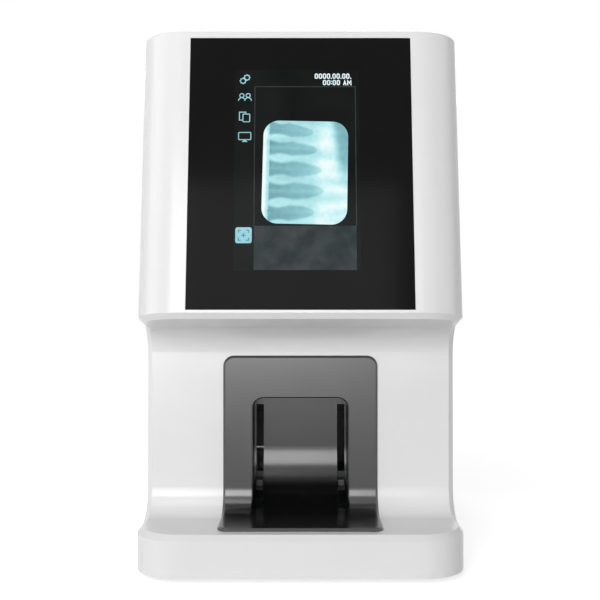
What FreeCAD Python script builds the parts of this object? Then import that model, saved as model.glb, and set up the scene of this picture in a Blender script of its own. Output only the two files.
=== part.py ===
import FreeCAD, Part
import math
import os

# Desktop scanner for phosphor imaging plates: a C-shaped casing with a leaning screen head, a loading
# niche in the neck, a plate lift, a roller transport and a scanning laser bench inside.
# Lengths are in millimetres. While it is modelled, x runs to the right, y is the depth behind the
# base's front face and z is the height above the casing's lower edge. The saved pieces are moved so
# that the origin lies under the middle of the object, on the surface that its feet stand on.

V = FreeCAD.Vector

# Casing
BODY_WIDTH = 150.0
BODY_DEPTH = 226.0
BODY_HEIGHT = 247.7
FOOT_HEIGHT = 2.0
FOOT_RADIUS = 7.0
FOOT_TAPER = 0.8
FOOT_INSET = 18.5
WALL = 2.5
CORNER_RADIUS = 20.5
TOP_ROUND = 1.0
RIM_CHAMFER = 2.5
BASE_THICKNESS = 18.9
NECK_SETBACK = 44.6
COVE_RADIUS = 12.4
HEAD_LEAN = 9.0
HEAD_SETBACK = 1.9
HEAD_UNDERSIDE = 114.6
PARTING_DEPTH = 128.0
PARTING_GAP = 0.3
LIP_THICKNESS = 1.3
LIP_LENGTH = 4.0
PLATE_BOTTOM = 0.6
PLATE_THICKNESS = 1.2

# Clearances: between pressed or fitted pieces, between loose pieces, in bearings, past a cut surface
FIT_GAP = 0.15
PLATE_GAP = 0.3
RUN_GAP = 0.05
PAST = 1.0

# Vents
REAR_VENTS = 8
REAR_VENT_LOW = 150.0
REAR_VENT_PITCH = 6.0
REAR_VENT_HEIGHT = 2.5
REAR_VENT_HALF = 40.0
FLOOR_VENTS = 9
FLOOR_VENT_START = 120.0
FLOOR_VENT_PITCH = 8.0
FLOOR_VENT_WIDTH = 3.0
FLOOR_VENT_HALF = 30.0

# Screen
GLASS_SIDE_MARGIN = 3.65
GLASS_TOP_MARGIN = 3.5
GLASS_RISE = 3.85
GLASS_THICKNESS = 2.0
GASKET_THICKNESS = 0.5
GASKET_WIDTH = 3.5
LEDGE_WIDTH = 4.0
LEDGE_THICKNESS = 1.6
LEDGE_MARGIN = 2.0
PANEL_WIDTH = 67.2
PANEL_FOOT = 11.8
PANEL_HEAD = 10.1
PANEL_THICKNESS = 3.0
PANEL_OFFSET = -2.0
PANEL_AIR = 0.1
BRACKET_THICKNESS = 1.2
BRACKET_MARGIN = 1.0
PAN_MARGIN = 3.0
PAN_RIM = 12.0
POST_LENGTH = 5.0
POST_RADIUS = 2.5
DISPLAY_BOARD_WIDTH = 60.0
DISPLAY_BOARD_INSET = 10.75
BOARD_THICKNESS = 1.6

# Niche
INSERT_WIDTH = 75.4
INSERT_TOP = 95.6
INSERT_PROUD = 1.4
INSERT_FRONT = 7.0
INSERT_CORNER = 5.2
INSERT_BEVEL = 1.1
OPENING_WIDTH = 46.7
OPENING_TOP = 75.0
OPENING_CORNER = 5.4
OPENING_BEVEL = 0.5
SLEEVE_WALL = 1.8
NICHE_DEPTH = 25.1
NICHE_COVE = 27.1
LINER_WALL = 2.0
LINER_RISE = 3.0
LINER_FLANGE = 7.0
SLOT_INNER = 18.9
SLOT_WIDTH = 3.8
SLOT_TOP = 69.1
SLOT_AHEAD = 20.1

# Plate lift
LIFT_TRAVEL = 37.0
LIFT_HEADROOM = 1.0
FINGER_WIDTH = 3.0
FINGER_HEIGHT = 4.0
FINGER_PARK = 31.0
FINGER_REACH = 4.2
FINGER_ROUND = 0.8
BEAM_HEIGHT = 10.0
BEAM_THICKNESS = 5.0
BEAM_GAP = 1.3
BEAM_DROP = 7.0
ROD_RADIUS = 2.5
ROD_SPACING = 60.0
BUSH_WALL = 1.5
BUSH_LENGTH = 12.0
HOUSING_WALL = 1.5
SCREW_RADIUS = 2.5
JOURNAL_RADIUS = 2.0
NUT_RADIUS = 5.0
NUT_FLANGE = 2.0
NUT_FLANGE_MARGIN = 3.0
LIFT_MOTOR_RADIUS = 10.0
LIFT_MOTOR_HEIGHT = 14.0
EAR_SPREAD = 15.0
EAR_WIDTH = 4.0
FRAME_MARGIN = 8.0
FRAME_REACH = 7.0
UPRIGHT_WIDTH = 9.0
SHEET = 2.0

# Plate transport
NICHE_TO_PATH = 1.7
PLATE_NIP = 1.4
DRIVE_RADIUS = 5.0
PINCH_RADIUS = 4.0
SLEEVE_THICKNESS = 1.5
ROLLER_LENGTH = 44.0
ROLLER_SIDE_GAP = 0.8
ROLLER_WINDOW_GAP = 0.4
DRIVE_SHAFT = 2.0
PINCH_SHAFT = 1.5
LOWER_ROLLERS = 86.0
UPPER_ROLLERS = 114.0
BEARING_WALL = 2.0
BEARING_PROUD = 0.5
SIDE_SPACING = 53.0
SIDE_DROP = 7.0
SIDE_FRONT_WALL = 0.8
SIDE_REACH = 38.0
SIDE_TOP_REACH = 22.0
SIDE_SHOULDER = 122.0
SIDE_FLANGE_START = 18.0
SIDE_FLANGE_LENGTH = 18.0
SIDE_FLANGE_WIDTH = 9.0
GUIDE_THICKNESS = 1.2
GUIDE_GAP = 2.4
GUIDE_RISE = 3.5
GUIDE_SIDE_GAP = 0.1
TRANSPORT_TOP = 160.0
PULLEY_RADIUS = 6.0
PULLEY_WIDTH = 6.0
PULLEY_GAP = 2.5
RIM_HEIGHT = 1.0
RIM_WIDTH = 0.8
BELT_THICKNESS = 1.2
BELT_INSET = 0.3
MOTOR_SIZE = 28.0
MOTOR_HEIGHT = 140.0
MOTOR_STANDOFF = 4.0
MOTOR_WALL_GAP = 1.5
MOTOR_CAP = 6.0
MOTOR_PILOT = 6.0

# Scan optics, most of it placed by its distance behind the plate's path
LASER_HEIGHT = 100.0
BENCH_TOP = 87.0
BENCH_THICKNESS = 3.0
BENCH_WIDTH = 112.0
BENCH_CORNER = 5.0
BENCH_TAB = 14.0
HUB_BORE = 4.0
RIB_SPACING = 44.0
RIB_HEIGHT = 6.0
TALL_POST_RADIUS = 4.0
TALL_POST_INSET = 13.0
SHORT_POST_RADIUS = 3.0
PATH_TO_BENCH = 14.0
PATH_TO_DETECTOR = 44.2
PATH_TO_LENS = 72.0
PATH_TO_MIRROR = 107.0
MIRROR_TO_EDGE = 14.0
MIRROR_WIDTH = 14.0
MIRROR_TALL = 12.0
MIRROR_THICKNESS = 1.6
SCAN_SHAFT = 1.5
SCAN_SHAFT_DEPTH = 20.0
SCAN_MOTOR_RADIUS = 9.0
SCAN_MOTOR_LENGTH = 34.0
LASER_RADIUS = 6.0
LASER_LENGTH = 36.0
LASER_STANDOFF = 20.0
LASER_NOSE = 3.0
LASER_BORE = 2.0
MOUNT_LENGTH = 22.0
MOUNT_HALF = 10.0
LENS_HALF = 13.0
LENS_TALL = 10.0
LENS_HOLDER_DEPTH = 9.0
LENS_HOLDER_MARGIN = 5.0
DETECTOR_WIDTH = 26.0
DETECTOR_LENGTH = 21.8
DETECTOR_LOW = 2.6
DETECTOR_TOP = 22.0
SHELF_HALF = 15.6
SHELF_LENGTH = 18.0
FILTER_THICKNESS = 2.0
LAMP_SIZE = 3.5
LAMP_HEIGHT = 1.0
ERASE_LOW = 123.0
ERASE_TALL = 28.0
FIN_HEIGHT = 8.0

# Electronics and the rear bay
BOARD_HEIGHT = 8.0
BOARD_WIDTH = 88.0
BOARD_GAP = 8.0
STANDOFF_INSET = 5.0
BAY_DEPTH = 4.0
BAY_MARGIN = 0.5
BAY_TOP = 44.0
BAY_BOTTOM = 5.0
ROCKER_INSET = 10.0
ROCKER_HEIGHT = 27.0
ROCKER_TILT = 10.0
ROCKER_HALF_WIDE = 6.5
ROCKER_HALF_TALL = 9.5
ROCKER_PIVOT_DEPTH = 3.0
ROCKER_PIVOT_RADIUS = 1.2

# Fasteners
SCREW_SHANK = 1.45
SCREW_HEAD = 2.8
SCREW_HEAD_HEIGHT = 1.5
SCREW_BORE_DEPTH = 10.0
BASE_SCREW_LENGTH = 8.0
BOSS_RADIUS = 4.0
REAR_BOSS_TOP = 21.8

# Derived places
LEAN = math.radians(HEAD_LEAN)
FAR = 2 * BODY_HEIGHT
HALF_WIDTH = BODY_WIDTH / 2
NECK_INSIDE = NECK_SETBACK + WALL
PLATE_TOP = PLATE_BOTTOM + PLATE_THICKNESS
FACE_LENGTH = (BODY_HEIGHT - HEAD_UNDERSIDE) / math.cos(LEAN)
GLASS_WIDTH = BODY_WIDTH - 2 * (CORNER_RADIUS + GLASS_SIDE_MARGIN)
GLASS_LENGTH = FACE_LENGTH - GLASS_RISE - GLASS_TOP_MARGIN
GLASS_HEAD = GLASS_RISE + GLASS_LENGTH
POCKET_DEPTH = GLASS_THICKNESS + GASKET_THICKNESS
PANEL_LOW = GLASS_RISE + PANEL_FOOT
PANEL_HIGH = GLASS_HEAD - PANEL_HEAD
PANEL_RISE = (PANEL_LOW + PANEL_HIGH) / 2
PANEL_BACK = -GLASS_THICKNESS - PANEL_AIR - PANEL_THICKNESS
DISPLAY_BOARD_HALF = (PANEL_HIGH - PANEL_LOW) / 2 - DISPLAY_BOARD_INSET
NICHE_BACK = NECK_SETBACK + NICHE_DEPTH
NICHE_FLOOR = BASE_THICKNESS + INSERT_PROUD
NICHE_HALF = OPENING_WIDTH / 2
FLOOR_START = NECK_SETBACK - COVE_RADIUS - FIT_GAP
SLOT_START = NICHE_BACK - SLOT_AHEAD
LINER_BACK = NICHE_BACK + LINER_WALL
BEAM_FRONT = LINER_BACK + BEAM_GAP
BEAM_BACK = BEAM_FRONT + BEAM_THICKNESS
ROD_DEPTH = BEAM_BACK + SHEET
SCREW_DEPTH = ROD_DEPTH + SHEET
FRAME_BACK = SCREW_DEPTH + LIFT_MOTOR_RADIUS + SHEET
BEAM_BOTTOM = FINGER_PARK - BEAM_DROP
LIFT_TOP = BEAM_BOTTOM + BUSH_LENGTH + LIFT_TRAVEL + LIFT_HEADROOM
PLATE_PATH = NICHE_BACK - NICHE_TO_PATH
DRIVE_DEPTH = PLATE_PATH + PLATE_NIP / 2 + DRIVE_RADIUS
PINCH_DEPTH = PLATE_PATH - PLATE_NIP / 2 - PINCH_RADIUS
SIDE_INNER = SIDE_SPACING / 2
SIDE_OUTER = SIDE_INNER + SHEET
FRONT_GUIDE = PLATE_PATH - GUIDE_GAP / 2 - GUIDE_THICKNESS
REAR_GUIDE = PLATE_PATH + GUIDE_GAP / 2
ERASE_DEPTH = REAR_GUIDE + GUIDE_THICKNESS + LAMP_HEIGHT + 2 * GUIDE_SIDE_GAP
PULLEY_X = SIDE_OUTER + PULLEY_GAP
PULLEY_END = PULLEY_X + PULLEY_WIDTH
MOTOR_FACE = PULLEY_END + MOTOR_STANDOFF
MOTOR_LENGTH = HALF_WIDTH - WALL - MOTOR_WALL_GAP - MOTOR_FACE
BENCH_LOW = BENCH_TOP - BENCH_THICKNESS
BENCH_FRONT = PLATE_PATH + PATH_TO_BENCH
DETECTOR_START = PLATE_PATH + PATH_TO_DETECTOR
LENS_DEPTH = PLATE_PATH + PATH_TO_LENS
MIRROR_DEPTH = PLATE_PATH + PATH_TO_MIRROR
BENCH_BACK = MIRROR_DEPTH + MIRROR_TO_EDGE
BOARD_FRONT = FRAME_BACK + BOARD_GAP
BOARD_TOP = BOARD_HEIGHT + BOARD_THICKNESS
BAY_FACE = BODY_DEPTH - BAY_DEPTH
BAY_RIGHT = HALF_WIDTH - CORNER_RADIUS - BAY_MARGIN
ROCKER_X = BAY_RIGHT - ROCKER_INSET
REAR_SCREW_SEAT = BODY_DEPTH - SCREW_HEAD_HEIGHT - PLATE_GAP

# Each socket's middle, width, height and length. They follow the rocker at equal steps to its left.
SOCKETS = {"network_socket": (ROCKER_X - 66.0, 16.0, 13.4, 20.0),
           "usb_socket": (ROCKER_X - 46.0, 12.0, 10.8, 16.0),
           "dc_inlet": (ROCKER_X - 26.0, 9.0, 11.0, 13.0)}
BAY_LEFT = SOCKETS["network_socket"][0] - 18.0


def mapped(plane, a, b, c):
    """Point of a flat outline: side is (depth, height), front is (x, height), plan is (x, depth)."""
    if plane == "side":
        return V(c, a, b)
    if plane == "front":
        return V(a, c, b)
    return V(a, b, c)


def outline(plane, corners, level, rounds=0.0):
    """Closed wire through the corners, each rounded by a tangent arc where its radius isn't zero."""
    count = len(corners)
    radii = rounds if isinstance(rounds, (list, tuple)) else [rounds] * count
    stretches = []
    for index, (a, b) in enumerate(corners):
        radius = radii[index]
        here = V(a, b, 0)
        if radius <= 0:
            stretches.append((here, None, here))
            continue
        back = (V(*corners[index - 1], 0) - here).normalize()
        ahead = (V(*corners[(index + 1) % count], 0) - here).normalize()
        half = math.acos(max(-1.0, min(1.0, back.dot(ahead)))) / 2
        reach = radius / math.tan(half)
        inward = (back + ahead).normalize()
        middle = here + inward * (radius / math.sin(half) - radius)
        stretches.append((here + back * reach, middle, here + ahead * reach))
    edges = []
    for index, (start, middle, end) in enumerate(stretches):
        following = stretches[(index + 1) % count][0]
        if middle is not None:
            edges.append(Part.Arc(*[mapped(plane, p.x, p.y, level) for p in (start, middle, end)]).toShape())
        if (following - end).Length > 1e-6:
            ends = [mapped(plane, p.x, p.y, level) for p in (end, following)]
            edges.append(Part.LineSegment(*ends).toShape())
    return Part.Wire(edges)


def prism(plane, corners, low, high, rounds=0.0):
    """Solid of a flat outline, from one level to another along the plane's normal."""
    face = Part.Face(outline(plane, corners, low, rounds))
    return face.extrude(mapped(plane, 0, 0, high - low))


def rectangle(a0, a1, b0, b1):
    return [(a0, b0), (a1, b0), (a1, b1), (a0, b1)]


def block(x0, x1, y0, y1, z0, z1):
    return Part.makeBox(x1 - x0, y1 - y0, z1 - z0, V(x0, y0, z0))


def round_bar(radius, start, end):
    start, end = V(*start), V(*end)
    return Part.makeCylinder(radius, (end - start).Length, start, end - start)


def tube(outer, inner, start, end):
    return round_bar(outer, start, end).cut(round_bar(inner, start, end))


def fused(shapes):
    whole = shapes[0].multiFuse(shapes[1:]) if len(shapes) > 1 else shapes[0]
    return whole.removeSplitter()


def on_face(shape):
    """Move a shape drawn flat (x, distance up the face, height off it) onto the head's leaning face."""
    turned = shape.copy()
    turned.rotate(V(0, 0, 0), V(1, 0, 0), 90 - HEAD_LEAN)
    turned.translate(V(0, HEAD_SETBACK, HEAD_UNDERSIDE))
    return turned


def save(name, shape):
    """Write one piece in the object's own frame."""
    moved = shape.copy()
    moved.translate(V(0, -BODY_DEPTH / 2, FOOT_HEIGHT))
    moved.exportStep("parts/" + name + ".step")


def casing_profile(inset, floor):
    """Side outline of the casing moved inwards by a distance, with its cove radii."""
    face_in = V(math.cos(LEAN), -math.sin(LEAN), 0)
    ceiling_in = V(math.sin(LEAN), math.cos(LEAN), 0)
    nose = V(HEAD_SETBACK, HEAD_UNDERSIDE, 0) + (face_in + ceiling_in) * inset
    neck = NECK_SETBACK + inset
    top = BODY_HEIGHT - inset
    ceiling = nose.y - (neck - nose.x) * math.tan(LEAN)
    corners = [(inset, floor), (inset, BASE_THICKNESS - inset), (neck, BASE_THICKNESS - inset),
               (neck, ceiling), (nose.x, nose.y), (nose.x + (top - nose.y) * math.tan(LEAN), top),
               (BODY_DEPTH - inset, top), (BODY_DEPTH - inset, floor)]
    cove = COVE_RADIUS + inset
    return corners, [0, 0, cove, cove, 0, 0, 0, 0]


def casing_form(inset, floor=0.0):
    """Solid form of the casing, moved inwards by a distance, with its upright corners rounded."""
    corners, rounds = casing_profile(inset, floor)
    half = HALF_WIDTH - inset
    form = prism("side", corners, -half, half, rounds)
    nose_y, nose_z = corners[4]
    upright = []
    for edge in form.Edges:
        box = edge.BoundBox
        at_side = abs(abs(box.Center.x) - half) < 0.01 and box.XLength < 0.01
        on_base_front = box.YMax < inset + 0.01
        face_depth = nose_y + (box.Center.z - nose_z) * math.tan(LEAN)
        on_head_face = box.ZMin > nose_z - 0.01 and abs(box.Center.y - face_depth) < 0.01
        on_back = box.YMin > BODY_DEPTH - inset - 0.01
        if at_side and box.ZLength > TOP_ROUND and (on_base_front or on_head_face or on_back):
            upright.append(edge)
    return form.makeFillet(CORNER_RADIUS - inset, upright)


def rim_edges(form):
    """Edges that run round the recess, from the base's top round the neck to the head's underside."""
    corners, _ = casing_profile(0.0, 0.0)
    ceiling_low = corners[3][1]
    found = []
    for edge in form.Edges:
        points = [edge.valueAt(edge.FirstParameter + (edge.LastParameter - edge.FirstParameter) * t)
                  for t in (0.1, 0.5, 0.9)]
        on_rim = True
        for point in points:
            on_side = abs(abs(point.x) - HALF_WIDTH) < 0.01
            on_base = abs(point.z - BASE_THICKNESS) < 0.01
            drop = HEAD_UNDERSIDE - (point.y - HEAD_SETBACK) * math.tan(LEAN)
            on_ceiling = abs(point.z - drop) < 0.01 and point.z >= ceiling_low - 0.01
            in_recess = BASE_THICKNESS - 0.01 < point.z < HEAD_UNDERSIDE and point.y < NECK_SETBACK + 0.01
            outer_base = on_base and (on_side or point.y < CORNER_RADIUS + 0.01)
            outer_ceiling = on_ceiling and (on_side or point.y < CORNER_RADIUS + HEAD_SETBACK + 0.01)
            if not (outer_base or outer_ceiling or (on_side and in_recess)):
                on_rim = False
        along_cove = abs(edge.BoundBox.XLength - BODY_WIDTH) < 0.01
        if on_rim and not along_cove:
            found.append(edge)
    return found


def outer_form():
    form = casing_form(0.0)
    form = form.makeChamfer(RIM_CHAMFER, rim_edges(form))
    top = [edge for edge in form.Edges if edge.BoundBox.ZMin > BODY_HEIGHT - 0.01]
    return form.makeFillet(TOP_ROUND, top)


def cut_all(shape, cutters):
    for cutter in cutters:
        shape = shape.cut(cutter)
    return shape


def pair(shape):
    """The shape and its mirror image across the object's middle plane."""
    return [shape, shape.mirror(V(0, 0, 0), V(1, 0, 0))]


def chamfered(a0, a1, b0, b1, cut):
    """Corners of a rectangle whose own corners are cut off."""
    return [(a0 + cut, b0), (a1 - cut, b0), (a1, b0 + cut), (a1, b1 - cut),
            (a1 - cut, b1), (a0 + cut, b1), (a0, b1 - cut), (a0, b0 + cut)]


def hexagon(a, b, radius):
    turns = [math.radians(60 * side) for side in range(6)]
    return [(a + radius * math.cos(turn), b + radius * math.sin(turn)) for turn in turns]


def tapered(near, far, start, end):
    """Solid with flat sides between two outlines whose matching edges are parallel."""
    ahead = [mapped("front", a, b, start) for a, b in near]
    behind = [mapped("front", a, b, end) for a, b in far]
    rings = [ahead, behind]
    for index in range(len(ahead)):
        rings.append([ahead[index - 1], ahead[index], behind[index], behind[index - 1]])
    faces = [Part.Face(Part.makePolygon(ring + ring[:1])) for ring in rings]
    return Part.Solid(Part.Shell(faces))


def shell_halves():
    """The outer skin, cut into its front and rear mouldings at the parting plane."""
    skin = outer_form().cut(casing_form(WALL, -WALL))
    ahead = block(-FAR, FAR, -FAR, PARTING_DEPTH - PARTING_GAP / 2, -FAR, FAR)
    behind = block(-FAR, FAR, PARTING_DEPTH + PARTING_GAP / 2, FAR, -FAR, FAR)
    return skin.common(ahead), skin.common(behind)


def face_box(width, low, high, back, front, offset=0.0):
    """Box in the head's face: width across, from low to high up the face, back to front off it."""
    return on_face(block(offset - width / 2, offset + width / 2, low, high, back, front))


def base_screw_places():
    side = HALF_WIDTH - WALL - 2 * BOSS_RADIUS - BAY_MARGIN
    front = NECK_SETBACK - 2 * BOSS_RADIUS - 2 * PLATE_GAP
    return [(x, y) for y in (front, BODY_DEPTH - front) for x in (-side, side)]


def base_screw_bores():
    bore = SCREW_SHANK + RUN_GAP
    return [round_bar(bore, (x, y, 0), (x, y, SCREW_BORE_DEPTH)) for x, y in base_screw_places()]


def rear_screw_places():
    side, drop = 48.0, 12.0
    return [(x, BENCH_LOW - drop) for x in (-side, side)]


def screw_boss(x, y, top):
    return round_bar(BOSS_RADIUS, (x, y, PLATE_TOP + PLATE_GAP), (x, y, top))


def front_cover(skin):
    """C-shaped moulding with the screen's pocket and ledge, the niche's opening and two bosses."""
    low, high = GLASS_RISE, GLASS_HEAD
    ledge = face_box(GLASS_WIDTH + 2 * LEDGE_MARGIN, low - LEDGE_MARGIN, high + LEDGE_MARGIN,
                     -POCKET_DEPTH - LEDGE_THICKNESS, -WALL / 2)
    pocket = face_box(GLASS_WIDTH + 2 * FIT_GAP, low - FIT_GAP, high + FIT_GAP, -POCKET_DEPTH, WALL)
    window = face_box(GLASS_WIDTH - 2 * LEDGE_WIDTH, low + LEDGE_WIDTH, high - LEDGE_WIDTH, -3 * WALL, WALL)
    boss_top = BASE_THICKNESS - WALL / 2
    bosses = [screw_boss(x, y, boss_top) for x, y in base_screw_places() if y < PARTING_DEPTH]
    half = NICHE_HALF + SLEEVE_WALL + 2 * FIT_GAP
    niche = block(-half, half, FLOOR_START - PLATE_GAP, NECK_INSIDE + PAST, BASE_THICKNESS - WALL - PAST,
                  OPENING_TOP + SLEEVE_WALL + 2 * FIT_GAP)
    return cut_all(fused([skin, ledge] + bosses), [pocket, window, niche] + base_screw_bores())


def rear_vents():
    rows = [REAR_VENT_LOW + REAR_VENT_PITCH * row for row in range(REAR_VENTS)]
    return [block(-REAR_VENT_HALF, REAR_VENT_HALF, BODY_DEPTH - 2 * WALL, BODY_DEPTH + PAST, low,
                  low + REAR_VENT_HEIGHT) for low in rows]


def joint_lip():
    """Inner lip round the rear moulding's front edge, which reaches into the front moulding."""
    start = PARTING_DEPTH + PARTING_GAP / 2
    bore = casing_form(WALL + FIT_GAP + LIP_THICKNESS, -WALL)
    root = casing_form(WALL - 0.01, 0.0).cut(bore)
    root = root.common(block(-FAR, FAR, start, start + LIP_LENGTH, -FAR, FAR))
    lip = casing_form(WALL + FIT_GAP, 0.0).cut(bore)
    lip = lip.common(block(-FAR, FAR, start - LIP_LENGTH, start + LIP_LENGTH, -FAR, FAR))
    return fused([root, lip]).common(block(-FAR, FAR, -FAR, FAR, PLATE_TOP + PLATE_GAP, FAR))


def rear_cover(skin):
    """Rear moulding with its joint lip, vents, the recessed bay for the sockets and its screw bosses."""
    bay = block(BAY_LEFT, BAY_RIGHT, BAY_FACE, BODY_DEPTH + PAST, BAY_BOTTOM, BAY_TOP)
    bay_wall = block(BAY_LEFT - WALL, BAY_RIGHT + WALL, BAY_FACE - WALL, BODY_DEPTH - WALL / 2,
                     BAY_BOTTOM - WALL, BAY_TOP + WALL)
    pieces = [skin, joint_lip(), bay_wall]
    for x, y in base_screw_places():
        if y > PARTING_DEPTH:
            wall_side = math.copysign(HALF_WIDTH - WALL / 2, x)
            low = PLATE_TOP + PLATE_GAP
            pieces.append(screw_boss(x, y, REAR_BOSS_TOP))
            pieces.append(block(min(x, wall_side), max(x, wall_side), y - 1.0, y + 1.0, low, REAR_BOSS_TOP))
    for x, z in rear_screw_places():
        pieces.append(round_bar(BOSS_RADIUS, (x, BENCH_BACK + PLATE_GAP, z), (x, BODY_DEPTH - WALL / 2, z)))
    cutters = [bay] + rear_vents() + socket_cutters() + rear_screw_cutters() + base_screw_bores()
    return cut_all(fused(pieces), cutters)


def rear_screw_cutters():
    cutters = []
    for x, z in rear_screw_places():
        end = (x, BODY_DEPTH + PAST, z)
        cutters.append(round_bar(SCREW_SHANK + RUN_GAP, (x, BENCH_BACK - PAST, z), end))
        cutters.append(round_bar(SCREW_HEAD + PLATE_GAP, (x, REAR_SCREW_SEAT, z), end))
    return cutters


def socket_cutters():
    cutters = []
    for x, width, height, _ in SOCKETS.values():
        half = width / 2 + PLATE_GAP
        cutters.append(block(x - half, x + half, BAY_FACE - 2 * WALL, BODY_DEPTH, BOARD_TOP - PLATE_GAP,
                             BOARD_TOP + height + PLATE_GAP))
    wide, tall = ROCKER_HALF_WIDE + FIT_GAP, ROCKER_HALF_TALL + FIT_GAP
    cutters.append(block(ROCKER_X - wide, ROCKER_X + wide, BAY_FACE - 2 * WALL, BODY_DEPTH,
                         ROCKER_HEIGHT - tall, ROCKER_HEIGHT + tall))
    return cutters


def bottom_plate():
    plate = casing_form(WALL + PLATE_GAP, -WALL)
    plate = plate.common(block(-HALF_WIDTH, HALF_WIDTH, 0, BODY_DEPTH, PLATE_BOTTOM, PLATE_TOP))
    bore = SCREW_SHANK + FIT_GAP + RUN_GAP
    cutters = [round_bar(bore, (x, y, -PAST), (x, y, PLATE_TOP + PAST)) for x, y in base_screw_places()]
    for row in range(FLOOR_VENTS):
        start = FLOOR_VENT_START + FLOOR_VENT_PITCH * row
        cutters.append(block(-FLOOR_VENT_HALF, FLOOR_VENT_HALF, start, start + FLOOR_VENT_WIDTH, -PAST,
                             PLATE_TOP + PAST))
    return cut_all(plate, cutters)


def rubber_feet():
    side, front = HALF_WIDTH - FOOT_INSET, FOOT_INSET
    places = [(x, y) for y in (front, BODY_DEPTH - front) for x in (-side, side)]
    height, low_radius = FOOT_HEIGHT + PLATE_BOTTOM, FOOT_RADIUS - FOOT_TAPER
    return Part.makeCompound([Part.makeCone(low_radius, FOOT_RADIUS, height, V(x, y, -FOOT_HEIGHT))
                              for x, y in places])


def case_screws():
    """Pan-head screws for moulded plastic: plain heads on six-sided thread-forming shanks."""
    screws = []
    for x, y in base_screw_places():
        head = round_bar(SCREW_HEAD, (x, y, PLATE_BOTTOM - SCREW_HEAD_HEIGHT), (x, y, PLATE_BOTTOM))
        shank = prism("plan", hexagon(x, y, SCREW_SHANK), PLATE_BOTTOM, PLATE_BOTTOM + BASE_SCREW_LENGTH)
        screws.append(fused([head, shank]))
    for x, z in rear_screw_places():
        head = round_bar(SCREW_HEAD, (x, REAR_SCREW_SEAT, z), (x, REAR_SCREW_SEAT + SCREW_HEAD_HEIGHT, z))
        shank = prism("front", hexagon(x, z, SCREW_SHANK), BENCH_BACK - PAST, REAR_SCREW_SEAT)
        screws.append(fused([head, shank]))
    return Part.makeCompound(screws)


def cover_glass():
    return face_box(GLASS_WIDTH, GLASS_RISE, GLASS_HEAD, -GLASS_THICKNESS, 0)


def glass_gasket():
    ring = face_box(GLASS_WIDTH, GLASS_RISE, GLASS_HEAD, -POCKET_DEPTH, -GLASS_THICKNESS)
    low, high = GLASS_RISE + GASKET_WIDTH, GLASS_HEAD - GASKET_WIDTH
    return ring.cut(face_box(GLASS_WIDTH - 2 * GASKET_WIDTH, low, high, -POCKET_DEPTH - PAST, 0))


def display_panel():
    front = PANEL_BACK + PANEL_THICKNESS
    return face_box(PANEL_WIDTH, PANEL_LOW, PANEL_HIGH, PANEL_BACK, front, PANEL_OFFSET)


def display_bracket():
    """Thin tray behind the glass's ledge, which holds the panel and carries its board on four posts."""
    seat = -POCKET_DEPTH - LEDGE_THICKNESS
    back = PANEL_BACK - BRACKET_THICKNESS
    low, high = GLASS_RISE + BRACKET_MARGIN, GLASS_HEAD - BRACKET_MARGIN
    frame = face_box(GLASS_WIDTH - 2 * BRACKET_MARGIN, low, high, seat - BRACKET_THICKNESS, seat)

    def panel_box(grow, start, end):
        wide = PANEL_WIDTH + 2 * grow
        return face_box(wide, PANEL_LOW - grow, PANEL_HIGH + grow, start, end, PANEL_OFFSET)
    pan = panel_box(PAN_MARGIN, back, seat)
    hollow = panel_box(FIT_GAP, PANEL_BACK, 0)
    window = panel_box(-PAN_RIM, back - PAST, 0)
    across = DISPLAY_BOARD_WIDTH / 2 - POST_RADIUS - BRACKET_THICKNESS
    along = DISPLAY_BOARD_HALF - 2 * POST_RADIUS
    posts = [on_face(prism("plan", hexagon(PANEL_OFFSET + x, PANEL_RISE + y, POST_RADIUS),
                           PANEL_BACK - POST_LENGTH, back + BRACKET_THICKNESS / 2))
             for x in (-across, across) for y in (-along, along)]
    return cut_all(fused([frame, pan] + posts), [hollow, window])


def display_board():
    top = PANEL_BACK - POST_LENGTH
    back = top - BOARD_THICKNESS
    board = face_box(DISPLAY_BOARD_WIDTH, PANEL_RISE - DISPLAY_BOARD_HALF, PANEL_RISE + DISPLAY_BOARD_HALF,
                     back, top, PANEL_OFFSET)
    chip, chip_height = 12.0, 1.6
    places = [(PANEL_OFFSET - 14.0, PANEL_RISE - 20.0), (PANEL_OFFSET + 12.0, PANEL_RISE + 6.0)]
    chips = [face_box(chip, up, up + chip, back - chip_height, back, x) for x, up in places]
    return fused([board] + chips)


def arch(margin, depth0, depth1):
    """Solid through the niche's arched opening, grown on every side by a margin."""
    half, top = NICHE_HALF + margin, OPENING_TOP + margin
    corners = rectangle(-half, half, -BASE_THICKNESS, top)
    radius = OPENING_CORNER + margin
    return prism("front", corners, depth0, depth1, [0, 0, radius, radius])


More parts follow.
